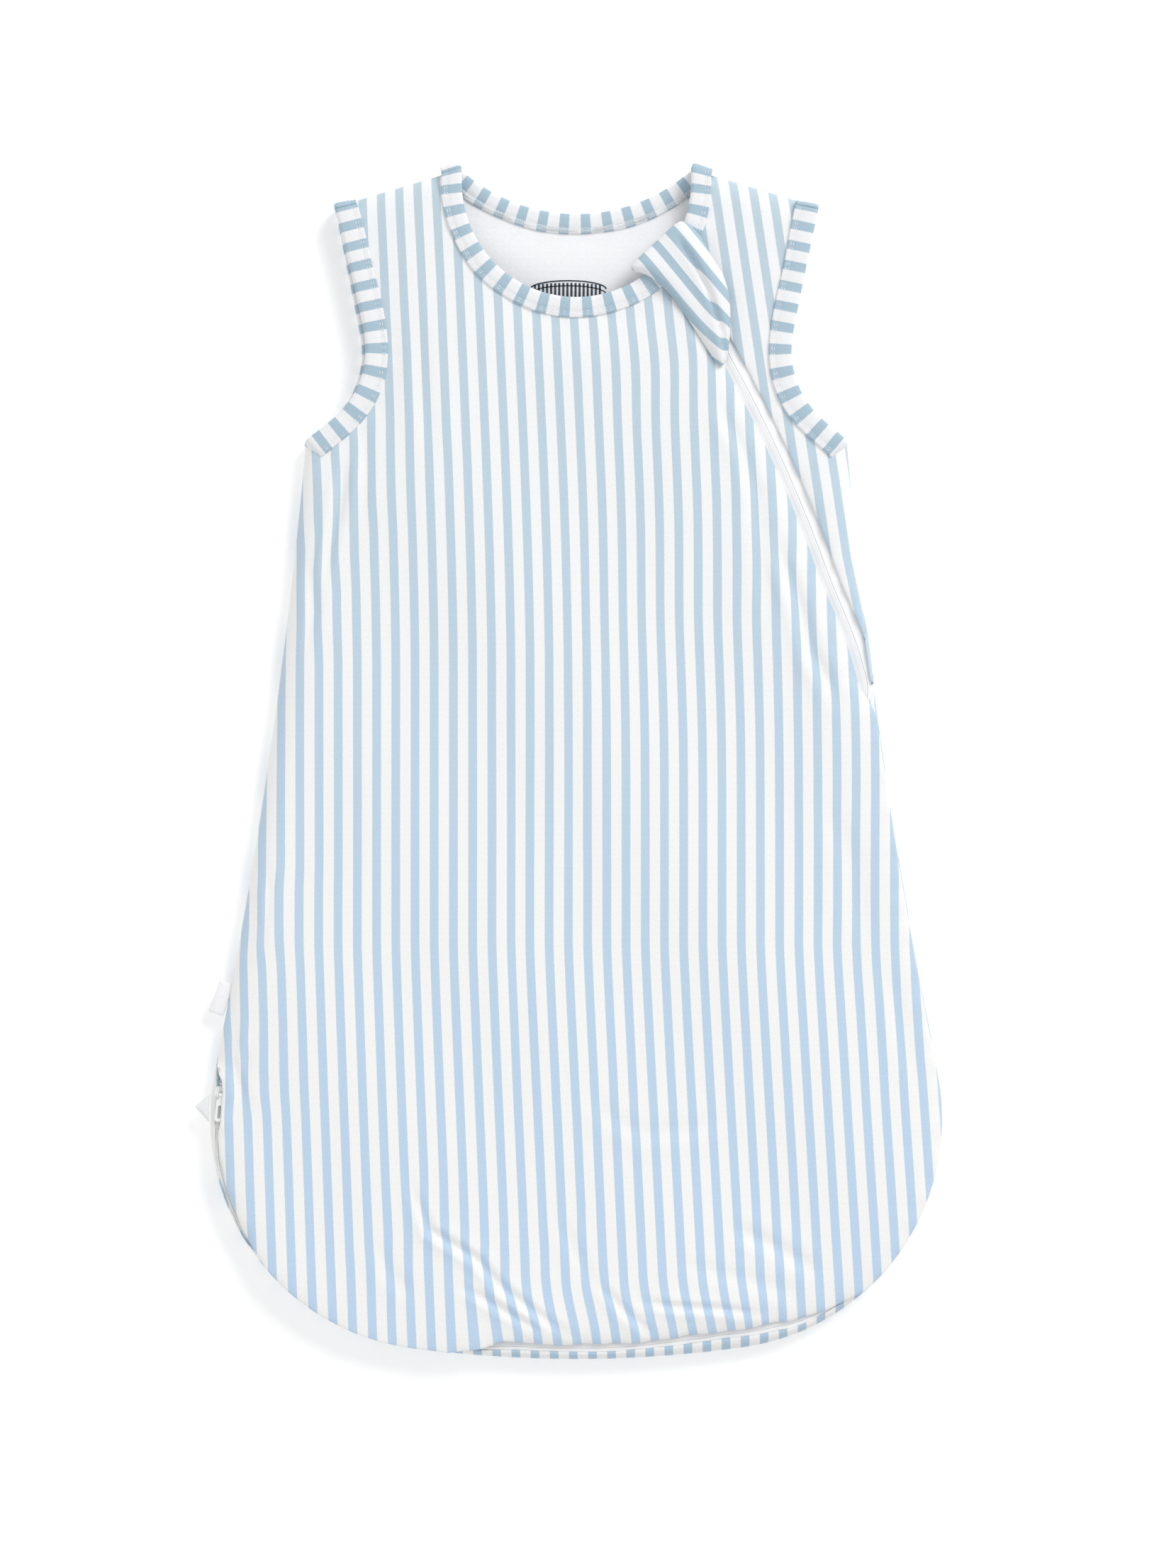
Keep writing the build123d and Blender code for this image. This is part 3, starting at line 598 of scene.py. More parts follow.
def near_creases(points):
    """Where the net of points has to be finer."""
    close = np.zeros(len(points), bool)
    for line, width, depth in CREASES:
        if depth > 1.05:
            close |= nearest(points, np.array(line, float), closed=False)[0] < 3.4 * width
    return close


def rolling(x, y):
    """Slow unevenness of the wadding."""
    return (0.9 * np.sin(x / 41 + 0.7) * np.sin(y / 57 + 1.9) + 0.6 * np.sin(x / 23 + y / 37 + 0.4)
            + 0.35 * np.sin(x / 13 - y / 29 + 2.1))


def softest(*heights):
    """The lowest of several heights, rounded where they cross."""
    total = sum(np.exp(-h / 1.1) for h in heights)
    return -1.1 * np.log(total)


def edge_kinds(run, full):
    """Which points of an outline lie on each of its three kinds of edge: binding, zip and seam."""
    d_full = nearest(run, full)[0]
    inset = nearest(run, garment)[0]
    bound = d_full > 0.6
    zipped = ~bound & (inset > 0.8)
    return {"bound": bound, "zip": zipped, "seam": ~bound & ~zipped}


def gap_to(points, run, mask):
    """Distance to the part of an outline that a mask picks, and how far along the outline it is."""
    links = [(run[i], run[(i + 1) % len(run)]) for i in range(len(run))
             if mask[i] and mask[(i + 1) % len(run)]]
    if not links:
        return np.full(len(points), 999.0), np.zeros(len(points))
    a = np.array([link[0] for link in links])
    b = np.array([link[1] for link in links])
    way = b - a
    size = np.maximum((way**2).sum(1), 1e-9)
    started = np.concatenate([[0], np.cumsum(np.sqrt(size))])[:-1]
    best, along = [], []
    for block in np.array_split(points, max(1, len(points) // 1500)):
        off = block[:, None, :] - a
        t = np.clip((off * way).sum(2) / size, 0, 1)
        d2 = ((off - t[..., None] * way) ** 2).sum(2)
        k = d2.argmin(1)
        rows = np.arange(len(block))
        best.append(np.sqrt(d2[rows, k]))
        along.append(started[k] + t[rows, k] * np.sqrt(size[k]))
    return np.concatenate(best), np.concatenate(along)


def stripe_place(x, y):
    """Where a point is on the cloth across its stripes: they drift as the bag narrows and turns."""
    upper = -0.00236 * np.maximum(y - 60, 0) ** 1.5 * (1 + 0.003 * (x + 62))
    below = np.maximum(-y - 105, 0)
    lower = 0.045 * below**2 / (below + 12) * (1 + 0.002 * (x + 62))
    right = 2.2 * np.exp(-(((y - 85) / 50) ** 2)) * ramp(x, -30, 70)
    right = right - 2.0 * np.exp(-(((x - 62) / 40) ** 2 + ((y - 240) / 26) ** 2))
    right = right - 5.0 * ramp(-y, 305, 352) * ramp(x, -78, -40) * (1 - ramp(x, 92, 128))
    return x - upper - lower + right + creased(x, y)[1] - STRIPE_START


def front_height(points, run, masks, flatter=0.0):
    x, y = points.T
    d_zip, s_zip = gap_to(points, run, masks["zip"])
    d_seam, _ = gap_to(points, run, masks["seam"])
    d_bound, s_bound = gap_to(points, run, masks["bound"])
    crown = LOFT_TOP - flatter + rolling(x, y) - 2.0 * ramp(y, 200, 340)
    inset = nearest(points, garment)[0]
    lap = (1 - ramp(inset + 20 * ramp(y, 0, 40), 14, 26)) * (1 - ramp(x, -60, -20) * (1 - ramp(x, 150, 190))
                                                             * (y < -200))
    at_corner = (x < -120) * ramp(-y, 214, 226) * (1 - ramp(-y, 286, 306))
    zip_edge = ZIP_EDGE + (LAP_EDGE - ZIP_EDGE) * lap * (1 - 0.9 * at_corner)
    ripple = 0.45 * np.sin(s_zip / 3.1 + np.sin(s_zip / 17)) * np.exp(-d_zip / 9)
    by_zip = zip_edge + (crown - zip_edge) * quarter(d_zip / 22) + ripple
    foot = (x > 100) * ramp(130 - y, 0, 50) * ramp(y, 5, 40)  # the seam's round is tighter at the zip's foot
    by_seam = SEAM_HEIGHT + 1.0 + (crown - SEAM_HEIGHT) * quarter(d_seam / (26 - 20 * foot)) ** 1.2
    from_band = np.maximum(d_bound - TUCK, 0)
    pucker = 0.3 * np.sin(s_bound / 2.3 + np.sin(s_bound / 9)) * np.exp(-from_band / 7) * ramp(from_band, 0,
                                                                                               3)
    by_band = 16.5 + (crown - 16.5) * ramp(from_band, -6, 34) + pucker
    smooth_top = softest(by_zip, by_seam, by_band)
    top = smooth_top - creased(x, y)[0] * (0.25 + 0.75 * ramp(smooth_top, 16, 20))
    return top, d_zip, zip_edge


def cloth_skin(name, run, masks, step, height, under, material_, uv, lap=6.0):
    """A shell cloth: its face, turned under along its zip and seam edges, with the cloth's thickness."""
    points, faces = filled(run, step, finer=near_creases)
    x, y = points.T
    top, d_edge, edge = height(points, run, masks)
    count = len(points)
    verts = np.column_stack([points, top])
    back_of = {}
    turned = []
    rim = d_edge < 0.02
    for face in faces:
        if all(d_edge[i] < lap for i in face):
            turned.append(face)
    low = edge - under * quarter(d_edge / 2.5)
    extra = []
    for face in turned:
        for i in face:
            if i not in back_of:
                if rim[i]:
                    back_of[i] = i
                else:
                    back_of[i] = count + len(extra)
                    extra.append((x[i], y[i], min(low[i], top[i] - 1.5 * quarter(d_edge[i] / 1.2))))
    if extra:
        verts = np.vstack([verts, extra])
    all_faces = list(faces) + [tuple(back_of[i] for i in face)[::-1] for face in turned]
    place = uv(x, y)
    if extra:
        order = sorted((v, k) for k, v in back_of.items() if v >= count)
        place = np.vstack([place, place[[k for _, k in order]]])
    piece = mesh_piece(name, verts, all_faces, material_, place)
    finish_with(piece, "SOLIDIFY", thickness=SHELL_THICKNESS * MM, offset=-1.0)
    return piece


def slab_between(name, run, step, top, bottom, material_, rings=(0.8, 2.4)):
    """A padded or lining layer between two heights, closed all round."""
    points, faces = filled(run, step, rings)
    count = len(points)
    d = nearest(points, run)[0]
    z_top, z_low = top(points, d), bottom(points, d)
    z_low = np.minimum(z_low, z_top - 0.25)
    low_of = {}
    extra = []
    for i in range(count):
        low_of[i] = count + len(extra)
        extra.append((points[i, 0], points[i, 1], z_low[i]))
    verts = np.vstack([np.column_stack([points, z_top]), extra])
    all_faces = list(faces) + [tuple(low_of[i] for i in face)[::-1] for face in faces]
    edges = {}
    for face in faces:
        for a, b in zip(face, face[1:] + face[:1]):
            edges[(a, b)] = True
    for a, b in edges:
        if (b, a) not in edges:
            all_faces.append((b, a, low_of[a], low_of[b]))
    return mesh_piece(name, verts, all_faces, material_)


def over_fold(piece):
    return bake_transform(piece)


masks = edge_kinds(front_cut, front_full)
front_run = lapped(drifted(front_cut, masks["zip"]))
for _ in range(4):  # ease the step where the lap over the hem zip begins
    foot = (front_run[:, 0] > 100) & (front_run[:, 1] > 20) & (front_run[:, 1] < 72)
    eased = (np.roll(front_run, 1, 0) + 2 * front_run + np.roll(front_run, -1, 0)) / 4
    front_run[foot] = eased[foot]
d_bound, _ = gap_to(front_run, front_cut, masks["bound"])
garment_gap = nearest(front_run, garment)[0]
front_masks = {"bound": d_bound < 0.3}
front_masks["zip"] = ~front_masks["bound"] & (garment_gap > 0.8)
front_masks["seam"] = ~front_masks["bound"] & ~front_masks["zip"]


def tucked(run, mask):
    """The outline with its bound edges pushed out under their bindings."""
    before, after = run - np.roll(run, 1, 0), np.roll(run, -1, 0) - run
    mean = before / np.hypot(*before.T)[:, None] + after / np.hypot(*after.T)[:, None]
    mean /= np.maximum(np.hypot(*mean.T), 0.5)[:, None]
    outwards = np.column_stack([mean[:, 1], -mean[:, 0]])
    return run + outwards * TUCK * mask[:, None]


front_run = tucked(front_run, front_masks["bound"])

front_cloth = cloth_skin("front_cloth", front_run, front_masks, 4.2, front_height, 1.3, striped,
                         lambda x, y: np.column_stack([stripe_place(x, y), y]))
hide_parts("front_shell", "front_left_shell")


def offset_in(run, inset):
    """The outline moved in by an amount, even or for each point, without the loops that leaves at corners."""
    inset = np.zeros(len(run)) + inset
    before, after = run - np.roll(run, 1, 0), np.roll(run, -1, 0) - run
    before /= np.hypot(*before.T)[:, None]
    after /= np.hypot(*after.T)[:, None]
    mean = before + after
    mean /= np.maximum(np.hypot(*mean.T), 0.5)[:, None]
    moved = run + np.column_stack([-mean[:, 1], mean[:, 0]]) * inset[:, None]
    return unique(moved[(nearest(moved, run)[0] > 0.9 * inset) & inside(moved, run)], 0.8)


def pad_top(p, run, masks, flatter=0.0):
    height = front_height(p, run, masks, flatter)[0]
    return height - 3.0 + 1.2 * (1 - ramp(height, 13, 17))


def under_pad(p, run, masks, below, flatter=0.0):
    """The lining lies level and comes down with the cloth to each seam."""
    return np.minimum(14.75, front_height(p, run, masks, flatter)[0] - 1.9) - below


def pad_and_lining(part, run, masks, flatter=0.0):
    """What lies under a panel's cloth: its wadding, its lining, and the outline the lining is cut to."""
    pad = slab_between(
        part + "_wadding_pad", offset_in(run, 3.5), LINING_NET,
        lambda p, d: pad_top(p, run, masks, flatter) - 0.8 * (1 - quarter(d / 6)),
        lambda p, d: under_pad(p, run, masks, -0.3, flatter), fluff)
    cut = offset_in(run, 2.2 + 4.6 * masks["zip"])
    lining = slab_between(
        part + "_lining_cloth", cut, LINING_NET,
        lambda p, d: under_pad(p, run, masks, 0.0, flatter),
        lambda p, d: under_pad(p, run, masks, LINING_THICKNESS, flatter), lining_cloth)
    return pad, lining, cut


front_pad, front_lining, _ = pad_and_lining("front", front_run, front_masks)
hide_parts("front_wadding", "front_left_wadding")
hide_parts("front_lining", "front_left_lining")

# --- side panel, right of the zip ----------------------------------------------------------------
side_full = evened(outlines("side_wadding")[0], 3.0)
side_masks = edge_kinds(side_cut, side_full)


def side_stripes(x, y):
    return np.column_stack([x + 0.15 * y - 0.065 * np.maximum(125 - y, 0) - 1.7 - STRIPE_START, y])


side_run = tucked(side_cut, side_masks["bound"])
d, place, normal, _ = nearest(side_run, garment)
drift = np.minimum(drifted(side_run, side_masks["zip"])[:, 0] - side_run[:, 0], np.maximum(d - 2.2, 0))
side_run[:, 0] += drift
side_cloth = cloth_skin("side_cloth", side_run, side_masks, 4.2,
                        lambda p, run, masks: front_height(p, run, masks, SIDE_FLATTER), 1.3, striped,
                        side_stripes)
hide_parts("side_shell")
side_pad, side_lining, side_lining_cut = pad_and_lining("side", side_run, side_masks, SIDE_FLATTER)
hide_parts("side_wadding")
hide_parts("side_lining")

# --- back ----------------------------------------------------------------------------------------
back_full = garment
back_bound = nearest(back_cut, back_full)[0] > 0.6
back_masks = {"bound": back_bound, "zip": np.zeros(len(back_cut), bool), "seam": ~back_bound}


def back_low(d):
    return 8.2 * (1 - quarter(d / 15))


def rim_width(x, y):
    """How far the back's rolled edge reaches in over the top, up to the zip tape."""
    zipped = ((x > 0) & (y < side_turn)) | (y < zip_foot)
    chain_in = np.array([chain_inset(*p) for p in zip(x, y)])
    return np.where(zipped, np.maximum(chain_in - 2.2, 1.0), 1.6)


def rim_top(x, y):
    zipped = ((x > 0) & (y < side_turn)) | (y < zip_foot)
    return np.where(zipped, 14.9, 9.0)


back_run = tucked(back_cut, back_masks["bound"])
points, faces = filled(back_run, 5.0, (0.4, 1.2, 2.4, 4.2, 6.6, 9.6, 13.0))
x, y = points.T
d_seam, _ = gap_to(points, back_run, back_masks["seam"])
d_bound, _ = gap_to(points, back_run, back_masks["bound"])
low = np.maximum(back_low(d_seam), 1.6 * (1 - ramp(d_bound, TUCK, 9)))
verts = [(*p, z) for p, z in zip(points, low)]
faces = [f[::-1] for f in faces]
place = [tuple(p) for p in np.column_stack([x - STRIPE_START + 0.03 * y - 3.7, y])]

# its edge is rolled up and over, in to the zip tape
t = np.roll(back_run, -1, 0) - np.roll(back_run, 1, 0)
t /= np.hypot(*t.T)[:, None]
into = np.column_stack([-t[:, 1], t[:, 0]])
wide, high = rim_width(*back_run.T), rim_top(*back_run.T)
for _ in range(3):
    wide = (np.roll(wide, 1) + 2 * wide + np.roll(wide, -1)) / 4
    high = (np.roll(high, 1) + 2 * high + np.roll(high, -1)) / 4
ROLL = (0.06, 0.2, 0.42, 0.7, 1.0)
rows = []
for i, p in enumerate(back_run):
    at_edge = int(np.argmin(np.hypot(*(points - p).T)))
    row = [at_edge]
    if back_masks["seam"][i]:
        for f in ROLL:
            q = p + into[i] * wide[i] * f
            ripple = 0.25 * sin(i * 1.1) * f
            row.append(len(verts))
            verts.append((*q, low[at_edge] + (high[i] - low[at_edge]) * float(quarter(f)) + ripple))
            place.append((q[0] - STRIPE_START + 0.03 * q[1] - 3.7, q[1]))
    rows.append(row)
for a, b in zip(rows, rows[1:] + rows[:1]):
    if len(a) > 1 and len(b) > 1:
        for k in range(len(ROLL)):
            faces.append((a[k], b[k], b[k + 1], a[k + 1]))
back_cloth = mesh_piece("back_cloth", verts, faces, shaded_back_jersey, place)
finish_with(back_cloth, "SOLIDIFY", thickness=SHELL_THICKNESS * MM, offset=-1.0)
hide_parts("back_shell", "hem_edge", "left_side_seam", "right_side_seam", "left_shoulder_seam",
            "right_shoulder_seam")

LINING_CROWN = 3.2


def inner_top(p):
    """Top of the back's lining: crowned by the wadding, down to the binding, up to the seams."""
    to_seam, _ = gap_to(p, back_run, back_masks["seam"])
    to_band, _ = gap_to(p, back_run, back_masks["bound"])
    crown = 4.0 + LINING_CROWN * ramp(to_band, TUCK, 24) * ramp(to_seam, 2, 20)
    crown = crown + 0.3 * np.sin(p[:, 0] / 19 + 1) * np.sin(p[:, 1] / 15)
    crown = np.where(to_band < 9,
                     np.minimum(crown, 3.0 + 1.0 * ramp(to_band, TUCK, 9) + 2.0 * ramp(to_band, 5, 12)),
                     crown)
    return crown + 4.8 * (1 - quarter((to_seam - 1) / 13))


back_pad = slab_between("back_wadding_pad", offset_in(back_run, 4.0), 9.0,
                        lambda p, d: inner_top(p) - 0.8 - 0.8 * (1 - quarter(d / 5)),
                        lambda p, d: 0.9 + back_low(gap_to(p, back_run, back_masks["seam"])[0])
                        + 0.6 * (1 - quarter(d / 6)), fluff)
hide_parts("back_wadding")
back_lining = slab_between("back_lining_cloth", offset_in(back_run, 1.2), 6.0,
                           lambda p, d: inner_top(p), lambda p, d: inner_top(p) - 0.6, lining_cloth)
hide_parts("back_lining")

# --- zip -----------------------------------------------------------------------------------------
way = np.gradient(chain, axis=0)
way /= np.hypot(*way.T)[:, None]
out_way = np.column_stack([-way[:, 1], way[:, 0]])  # towards the back half of the zip
chain_at = np.concatenate([[0], np.cumsum(np.hypot(*np.diff(chain, axis=0).T))])


def tape(name, sign, reach, stitching):
    """One half of the zip tape: flat, with raised ribs beside the chain. stitching shifts its pattern."""
    rows = []
    for i in range(len(chain)):
        wide = reach(i)
        rows.append([(0.04, TAPE_UNDER), (0.04, 13.95), (0.55, 14.12), (0.85, 14.15), (1.15, 13.98),
                     (1.45, 14.14), (1.75, 13.98),
                     (0.5 * wide + 1, TAPE_TOP), (wide, TAPE_TOP - 0.05), (wide, TAPE_UNDER),
                     (0.5 * wide + 1, TAPE_UNDER)])
    rows = np.array(rows)
    verts, place = [], []
    for i in range(len(chain)):
        for n, z in rows[i]:
            p = chain[i] + sign * out_way[i] * n
            verts.append((p[0], p[1], z))
            place.append((chain_at[i], n + (stitching if chain[i][0] > -150 else 0)))
    faces = []
    k = rows.shape[1]
    for i in range(len(chain) - 1):
        for j in range(k):
            quad = (i * k + j, i * k + (j + 1) % k, (i + 1) * k + (j + 1) % k, (i + 1) * k + j)
            faces.append(quad if sign > 0 else quad[::-1])
    ends = [tuple(range(k)), tuple((len(chain) - 1) * k + j for j in range(k))]
    faces += [ends[0][::-1] if sign > 0 else ends[0], ends[1] if sign > 0 else ends[1][::-1]]
    return mesh_piece(name, verts, faces, tape_cloth, place)


front_tape = tape("front_zip_tape_cloth", -1, lambda i: TAPE_REACH, 0.0)

chain_gap = nearest(chain, garment)[0]


def back_reach(i):
    """The back's half reaches the outline at the side panel's foot, and shows less of itself below."""
    x, y = chain[i]
    if x > 0 and y > side_turn - 20:
        return min(TAPE_REACH, chain_gap[i] - 1.2)
    return 3.2 if x > -150 else 2.4


back_tape = tape("back_zip_tape_cloth", 1, back_reach, 3.0)
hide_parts("front_zip_tape", "front_zip_tape_end")
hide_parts("back_zip_tape")


def coil(name, sign, first, last):
    """One coil: a single loop of nylon, modelled once and repeated along the chain."""
    bpy.ops.object.select_all(action="DESELECT")
    bpy.ops.mesh.primitive_torus_add(major_radius=0.95 * MM, minor_radius=0.27 * MM, major_segments=10,
                                     minor_segments=5,
                                     location=(0, 0, 0), rotation=(0, radians(78), 0))
    piece = bpy.context.object
    piece.name = name
    bpy.ops.object.transform_apply(location=True, rotation=True, scale=True)
    piece.data.transform(Matrix.Diagonal((1.0, 1.0, 0.62, 1.0)))
    line = bpy.data.curves.new(name + "_line", "CURVE")
    line.dimensions = "3D"
    line.twist_mode = "Z_UP"
    spline = line.splines.new("POLY")
    route = [chain[i] + sign * out_way[i] * 1.35 for i in range(first, last)]
    spline.points.add(len(route) - 1)
    for point, place in zip(spline.points, route):
        point.co = (place[0] * MM, place[1] * MM, COIL_MIDDLE * MM, 1)
    path = bpy.data.objects.new(name + "_line", line)
    bpy.context.scene.collection.objects.link(path)
    finish_with(piece, "ARRAY", fit_type="FIT_CURVE", curve=path, use_relative_offset=False,
                use_constant_offset=True,
                constant_offset_displace=(COIL_SPACING * MM, 0, 0))
    finish_with(piece, "CURVE", object=path, deform_axis="POS_X")
    bpy.data.objects.remove(path)
    piece.data.materials.append(nylon)
    for face in piece.data.polygons:
        face.use_smooth = True
    return piece


near_slider = int(np.argmin(np.hypot(*(chain - upper_stop).T))) + 2
front_coil = coil("front_zip_coil_loops", -1, near_slider, len(chain))
back_coil = coil("back_zip_coil_loops", 1, near_slider - 3, len(chain))
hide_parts("front_zip_coil", "front_zip_coil_end")
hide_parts("back_zip_coil")

# --- bindings ------------------------------------------------------------------------------------
def band_section(width, thick):
    """A binding's cross-section: n runs in from the edge, z is its height. Its lines of stitching dip."""
    outer = [(0.0, 0.0), (0.35, 0.28), (1.2, 0.46), (3.0, 0.52), (5.5, 0.5), (width - 4.2, 0.49),
             (width - 3.5, 0.40),
             (width - 2.8, 0.48), (width - 2.0, 0.40), (width - 1.0, 0.47), (width - 0.2, 0.40),
             (width, 0.25)]
    top = [(n, z * thick) for n, z in outer]
    low = [(n, -z * thick) for n, z in outer[1:]][::-1]
    return np.array(top + low)


def band(name, path, inward, up, width, thick, shift=0.0):
    """A binding carried along its edge: path in space, with its inward and upward directions."""
    path = np.array(path, float)
    section = band_section(width, thick)
    rows = len(section)
    at = np.concatenate([[0], np.cumsum(np.linalg.norm(np.diff(path, axis=0), axis=1))])
    verts, place = [], []
    for i, p in enumerate(path):
        swell = 1 + 0.07 * sin(at[i] / 4.3 + sin(at[i] / 19)) + 0.05 * sin(at[i] / 2.1)
        for n, z in section:
            verts.append(p + inward[i] * n * (1 + 0.02 * sin(at[i] / 7.7)) + up[i] * z * swell)
            place.append((at[i] + shift, n))
    faces = []
    for i in range(len(path) - 1):
        for k in range(rows):
            faces.append((i * rows + k, (i + 1) * rows + k, (i + 1) * rows + (k + 1) % rows,
                          i * rows + (k + 1) % rows))
    faces.append(tuple(range(rows)))
    faces.append(tuple((len(path) - 1) * rows + k for k in range(rows))[::-1])
    piece = mesh_piece(name, verts, faces, band_cloth, place)
    bpy.ops.object.select_all(action="DESELECT")
    bpy.context.view_layer.objects.active = piece
    piece.select_set(True)
    bpy.ops.object.mode_set(mode="EDIT")
    bpy.ops.mesh.select_all(action="SELECT")
    bpy.ops.mesh.normals_make_consistent(inside=False)
    bpy.ops.object.mode_set(mode="OBJECT")
    return piece, at


def stepped(run, step):
    """An open run of points made even and gently smoothed."""
    length = np.concatenate([[0], np.cumsum(np.hypot(*np.diff(run, axis=0).T))])
    at = np.linspace(0, length[-1], max(3, int(length[-1] / step)))
    run = np.column_stack([np.interp(at, length, run[:, k]) for k in (0, 1)])
    for _ in range(4):
        run[1:-1] = (run[:-2] + 2 * run[1:-1] + run[2:]) / 4
    return run


# Armholes: each binding is one loop, down the front, under the arm and up the back.
ARM_BAND, NECK_BAND, BAND_THICK = 14.0, 12.5, 4.4
FRONT_BAND_Z, BACK_BAND_Z = 16.0, 2.2
MID_BAND_Z, HALF_BAND_Z = (FRONT_BAND_Z + BACK_BAND_Z) / 2, (FRONT_BAND_Z - BACK_BAND_Z) / 2
SEAM_ALLOWANCE = 1.0  # the binding's edge stands this far outside the wadding's


def corners_in(run, low, high):
    """Sharp corners of an outline that lie inside a box in plan."""
    before, after = run - np.roll(run, 1, 0), np.roll(run, -1, 0) - run
    turn = np.degrees(np.arctan2(before[:, 0] * after[:, 1] - before[:, 1] * after[:, 0],
                                 (before * after).sum(1)))
    picked = (np.abs(turn) > 24) & (run > low).all(1) & (run < high).all(1)
    return run[picked]


def between(run, start, end):
    """The shorter stretch of a closed outline from one of its points to another, made even."""
    a, b = (int(np.argmin(np.hypot(*(run - p).T))) for p in (start, end))
    count = len(run)
    forward = [(a + i) % count for i in range((b - a) % count + 1)]
    back = [(a - i) % count for i in range((a - b) % count + 1)]
    return stepped(run[forward if len(forward) < len(back) else back], 2.2)


def directions(line):
    t = np.gradient(line, axis=0)
    return t / np.hypot(*t.T)[:, None]


def flat_run(line, side, z, up):
    """A stretch of binding that lies flat: side is 1 if its cloth is to the left of the line."""
    t = directions(line)
    return ([(p[0], p[1], z) for p in line], [(-d[1] * side, d[0] * side, 0) for d in t],
            [(0, 0, up)] * len(line))


def turn_over(start, end, n0, n1, way, reach, rising):
    """A half turn where a binding folds over a seam, from one face of the bag to the other."""
    points, inward, up = [], [], []
    way = np.array(way, float)
    for a in np.linspace(0, pi, 11)[1:-1]:
        share = a / pi
        p = np.array(start) * (1 - share) + np.array(end) * share + way * reach * sin(a)
        turned = ramp(share, 0.45, 1) if not rising else ramp(share, 0, 0.55)
        n = np.array(n0) * (1 - turned) + np.array(n1) * turned
        n = n / max(np.hypot(*n), 1e-6)
        turn = way - n * (way @ n)
        turn = turn / max(np.hypot(*turn), 1e-6)
        face = 1 if not rising else -1
        points.append((p[0], p[1], MID_BAND_Z + face * HALF_BAND_Z * cos(a)))
        inward.append((n[0], n[1], 0))
        up.append((turn[0] * sin(a), turn[1] * sin(a), face * cos(a)))
    return points, inward, up


def outside(line, side):
    """A line moved off the wadding's edge by the seam allowance."""
    t = directions(line)
    return line - np.column_stack([-t[:, 1], t[:, 0]]) * side * SEAM_ALLOWANCE


thread_runs = []
true_edge = evened(outlines("back_wadding")[0], 1.5)


def arm_band(name, node, side, back_shows):
    """side is -1 on the left and 1 on the right; back_shows is how far the back's half stands out."""
    low, high = (np.array(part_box(node)[k][:2]) / MM for k in (0, 1))
    corners = corners_in(outlines("back_wadding")[0], low - 4, high + 4)
    tip, pit = corners[corners[:, 1].argmax()], corners[corners[:, 1].argmin()]
    down = outside(between(true_edge, tip, pit), -side)
    share = np.linspace(0, 1, len(down))
    t = directions(down)
    into = np.column_stack([-t[:, 1], t[:, 0]]) * -side
    front = down + into * (np.sin(pi * share) * back_shows)[:, None]
    front, back = front[1:-1], down[1:-1][::-1]
    f_into, b_into = into[1:-1], into[1:-1][::-1]
    low_way, high_way = directions(front)[-2], -directions(front)[1]
    parts = [
        flat_run(front, -side, FRONT_BAND_Z, 1),
        turn_over(front[-1], back[0], f_into[-1], b_into[0], low_way, 2.5, False),
        flat_run(back, side, BACK_BAND_Z, -1),
        turn_over(back[-1], front[0], b_into[-1], f_into[0], high_way, 2.5, True),
    ]
    path = [sum((list(part[k]) for part in parts), []) for k in range(3)]
    path = [np.array(v + v[:1], float) for v in path]
    piece, at = band(name, *path, ARM_BAND, BAND_THICK)
    thread_runs.append((name + "_stitches", path, ARM_BAND, BAND_THICK, "bag"))
    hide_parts(node)
    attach(piece, "bag")
    return piece


left_band = arm_band("left_armhole_band", "left_armhole_binding", -1, 3.0)
right_band = arm_band("right_armhole_band", "right_armhole_binding", 1, 0.4)

# Neck: one part along the front, and the rest runs from the zip round the back of the neck.
neck_edge = evened(across_fold("front_left_wadding", "front_wadding"), 1.5)
low, high = (np.array(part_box("neck_binding_front")[k][:2]) / MM for k in (0, 1))
point_left = corners_in(outlines("back_wadding")[0], np.array((-72.0, 340.0)), np.array((-60.0, 365.0)))[0]
point_right = point_left * (-1, 1)
corners = corners_in(across_fold("front_left_wadding", "front_wadding"), np.array((20.0, 280.0)),
                     np.array((75.0, 345.0)))
zip_corner = corners[np.hypot(*(corners - (0, 350)).T).argmin()]
front_line = outside(between(neck_edge, point_left, zip_corner), -1)
shoulder = np.array((-0.958, -0.286))  # along the left shoulder seam, away from the neck


def eased_to(path, way, at_end, count=7):
    """Turn the end of a binding so that its last fold lies along the shoulder."""
    points, inward, up = path
    for i in range(count):
        k = len(points) - 1 - i if at_end else i
        share = 1 - i / count
        n = np.array(inward[k][:2]) * (1 - share) + np.array(way) * share
        inward[k] = (*(n / np.hypot(*n)), 0)
    return points, inward, up


front_neck_path = [np.array(v, float) for v in eased_to(flat_run(front_line, -1, FRONT_BAND_Z, 1), shoulder,
                                                        False)]
neck_front_band, _ = band("neck_front_band", *front_neck_path, NECK_BAND, BAND_THICK)
thread_runs.append(("neck_front_band_stitches", front_neck_path, NECK_BAND, BAND_THICK, "front_flap"))
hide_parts("neck_binding_front")

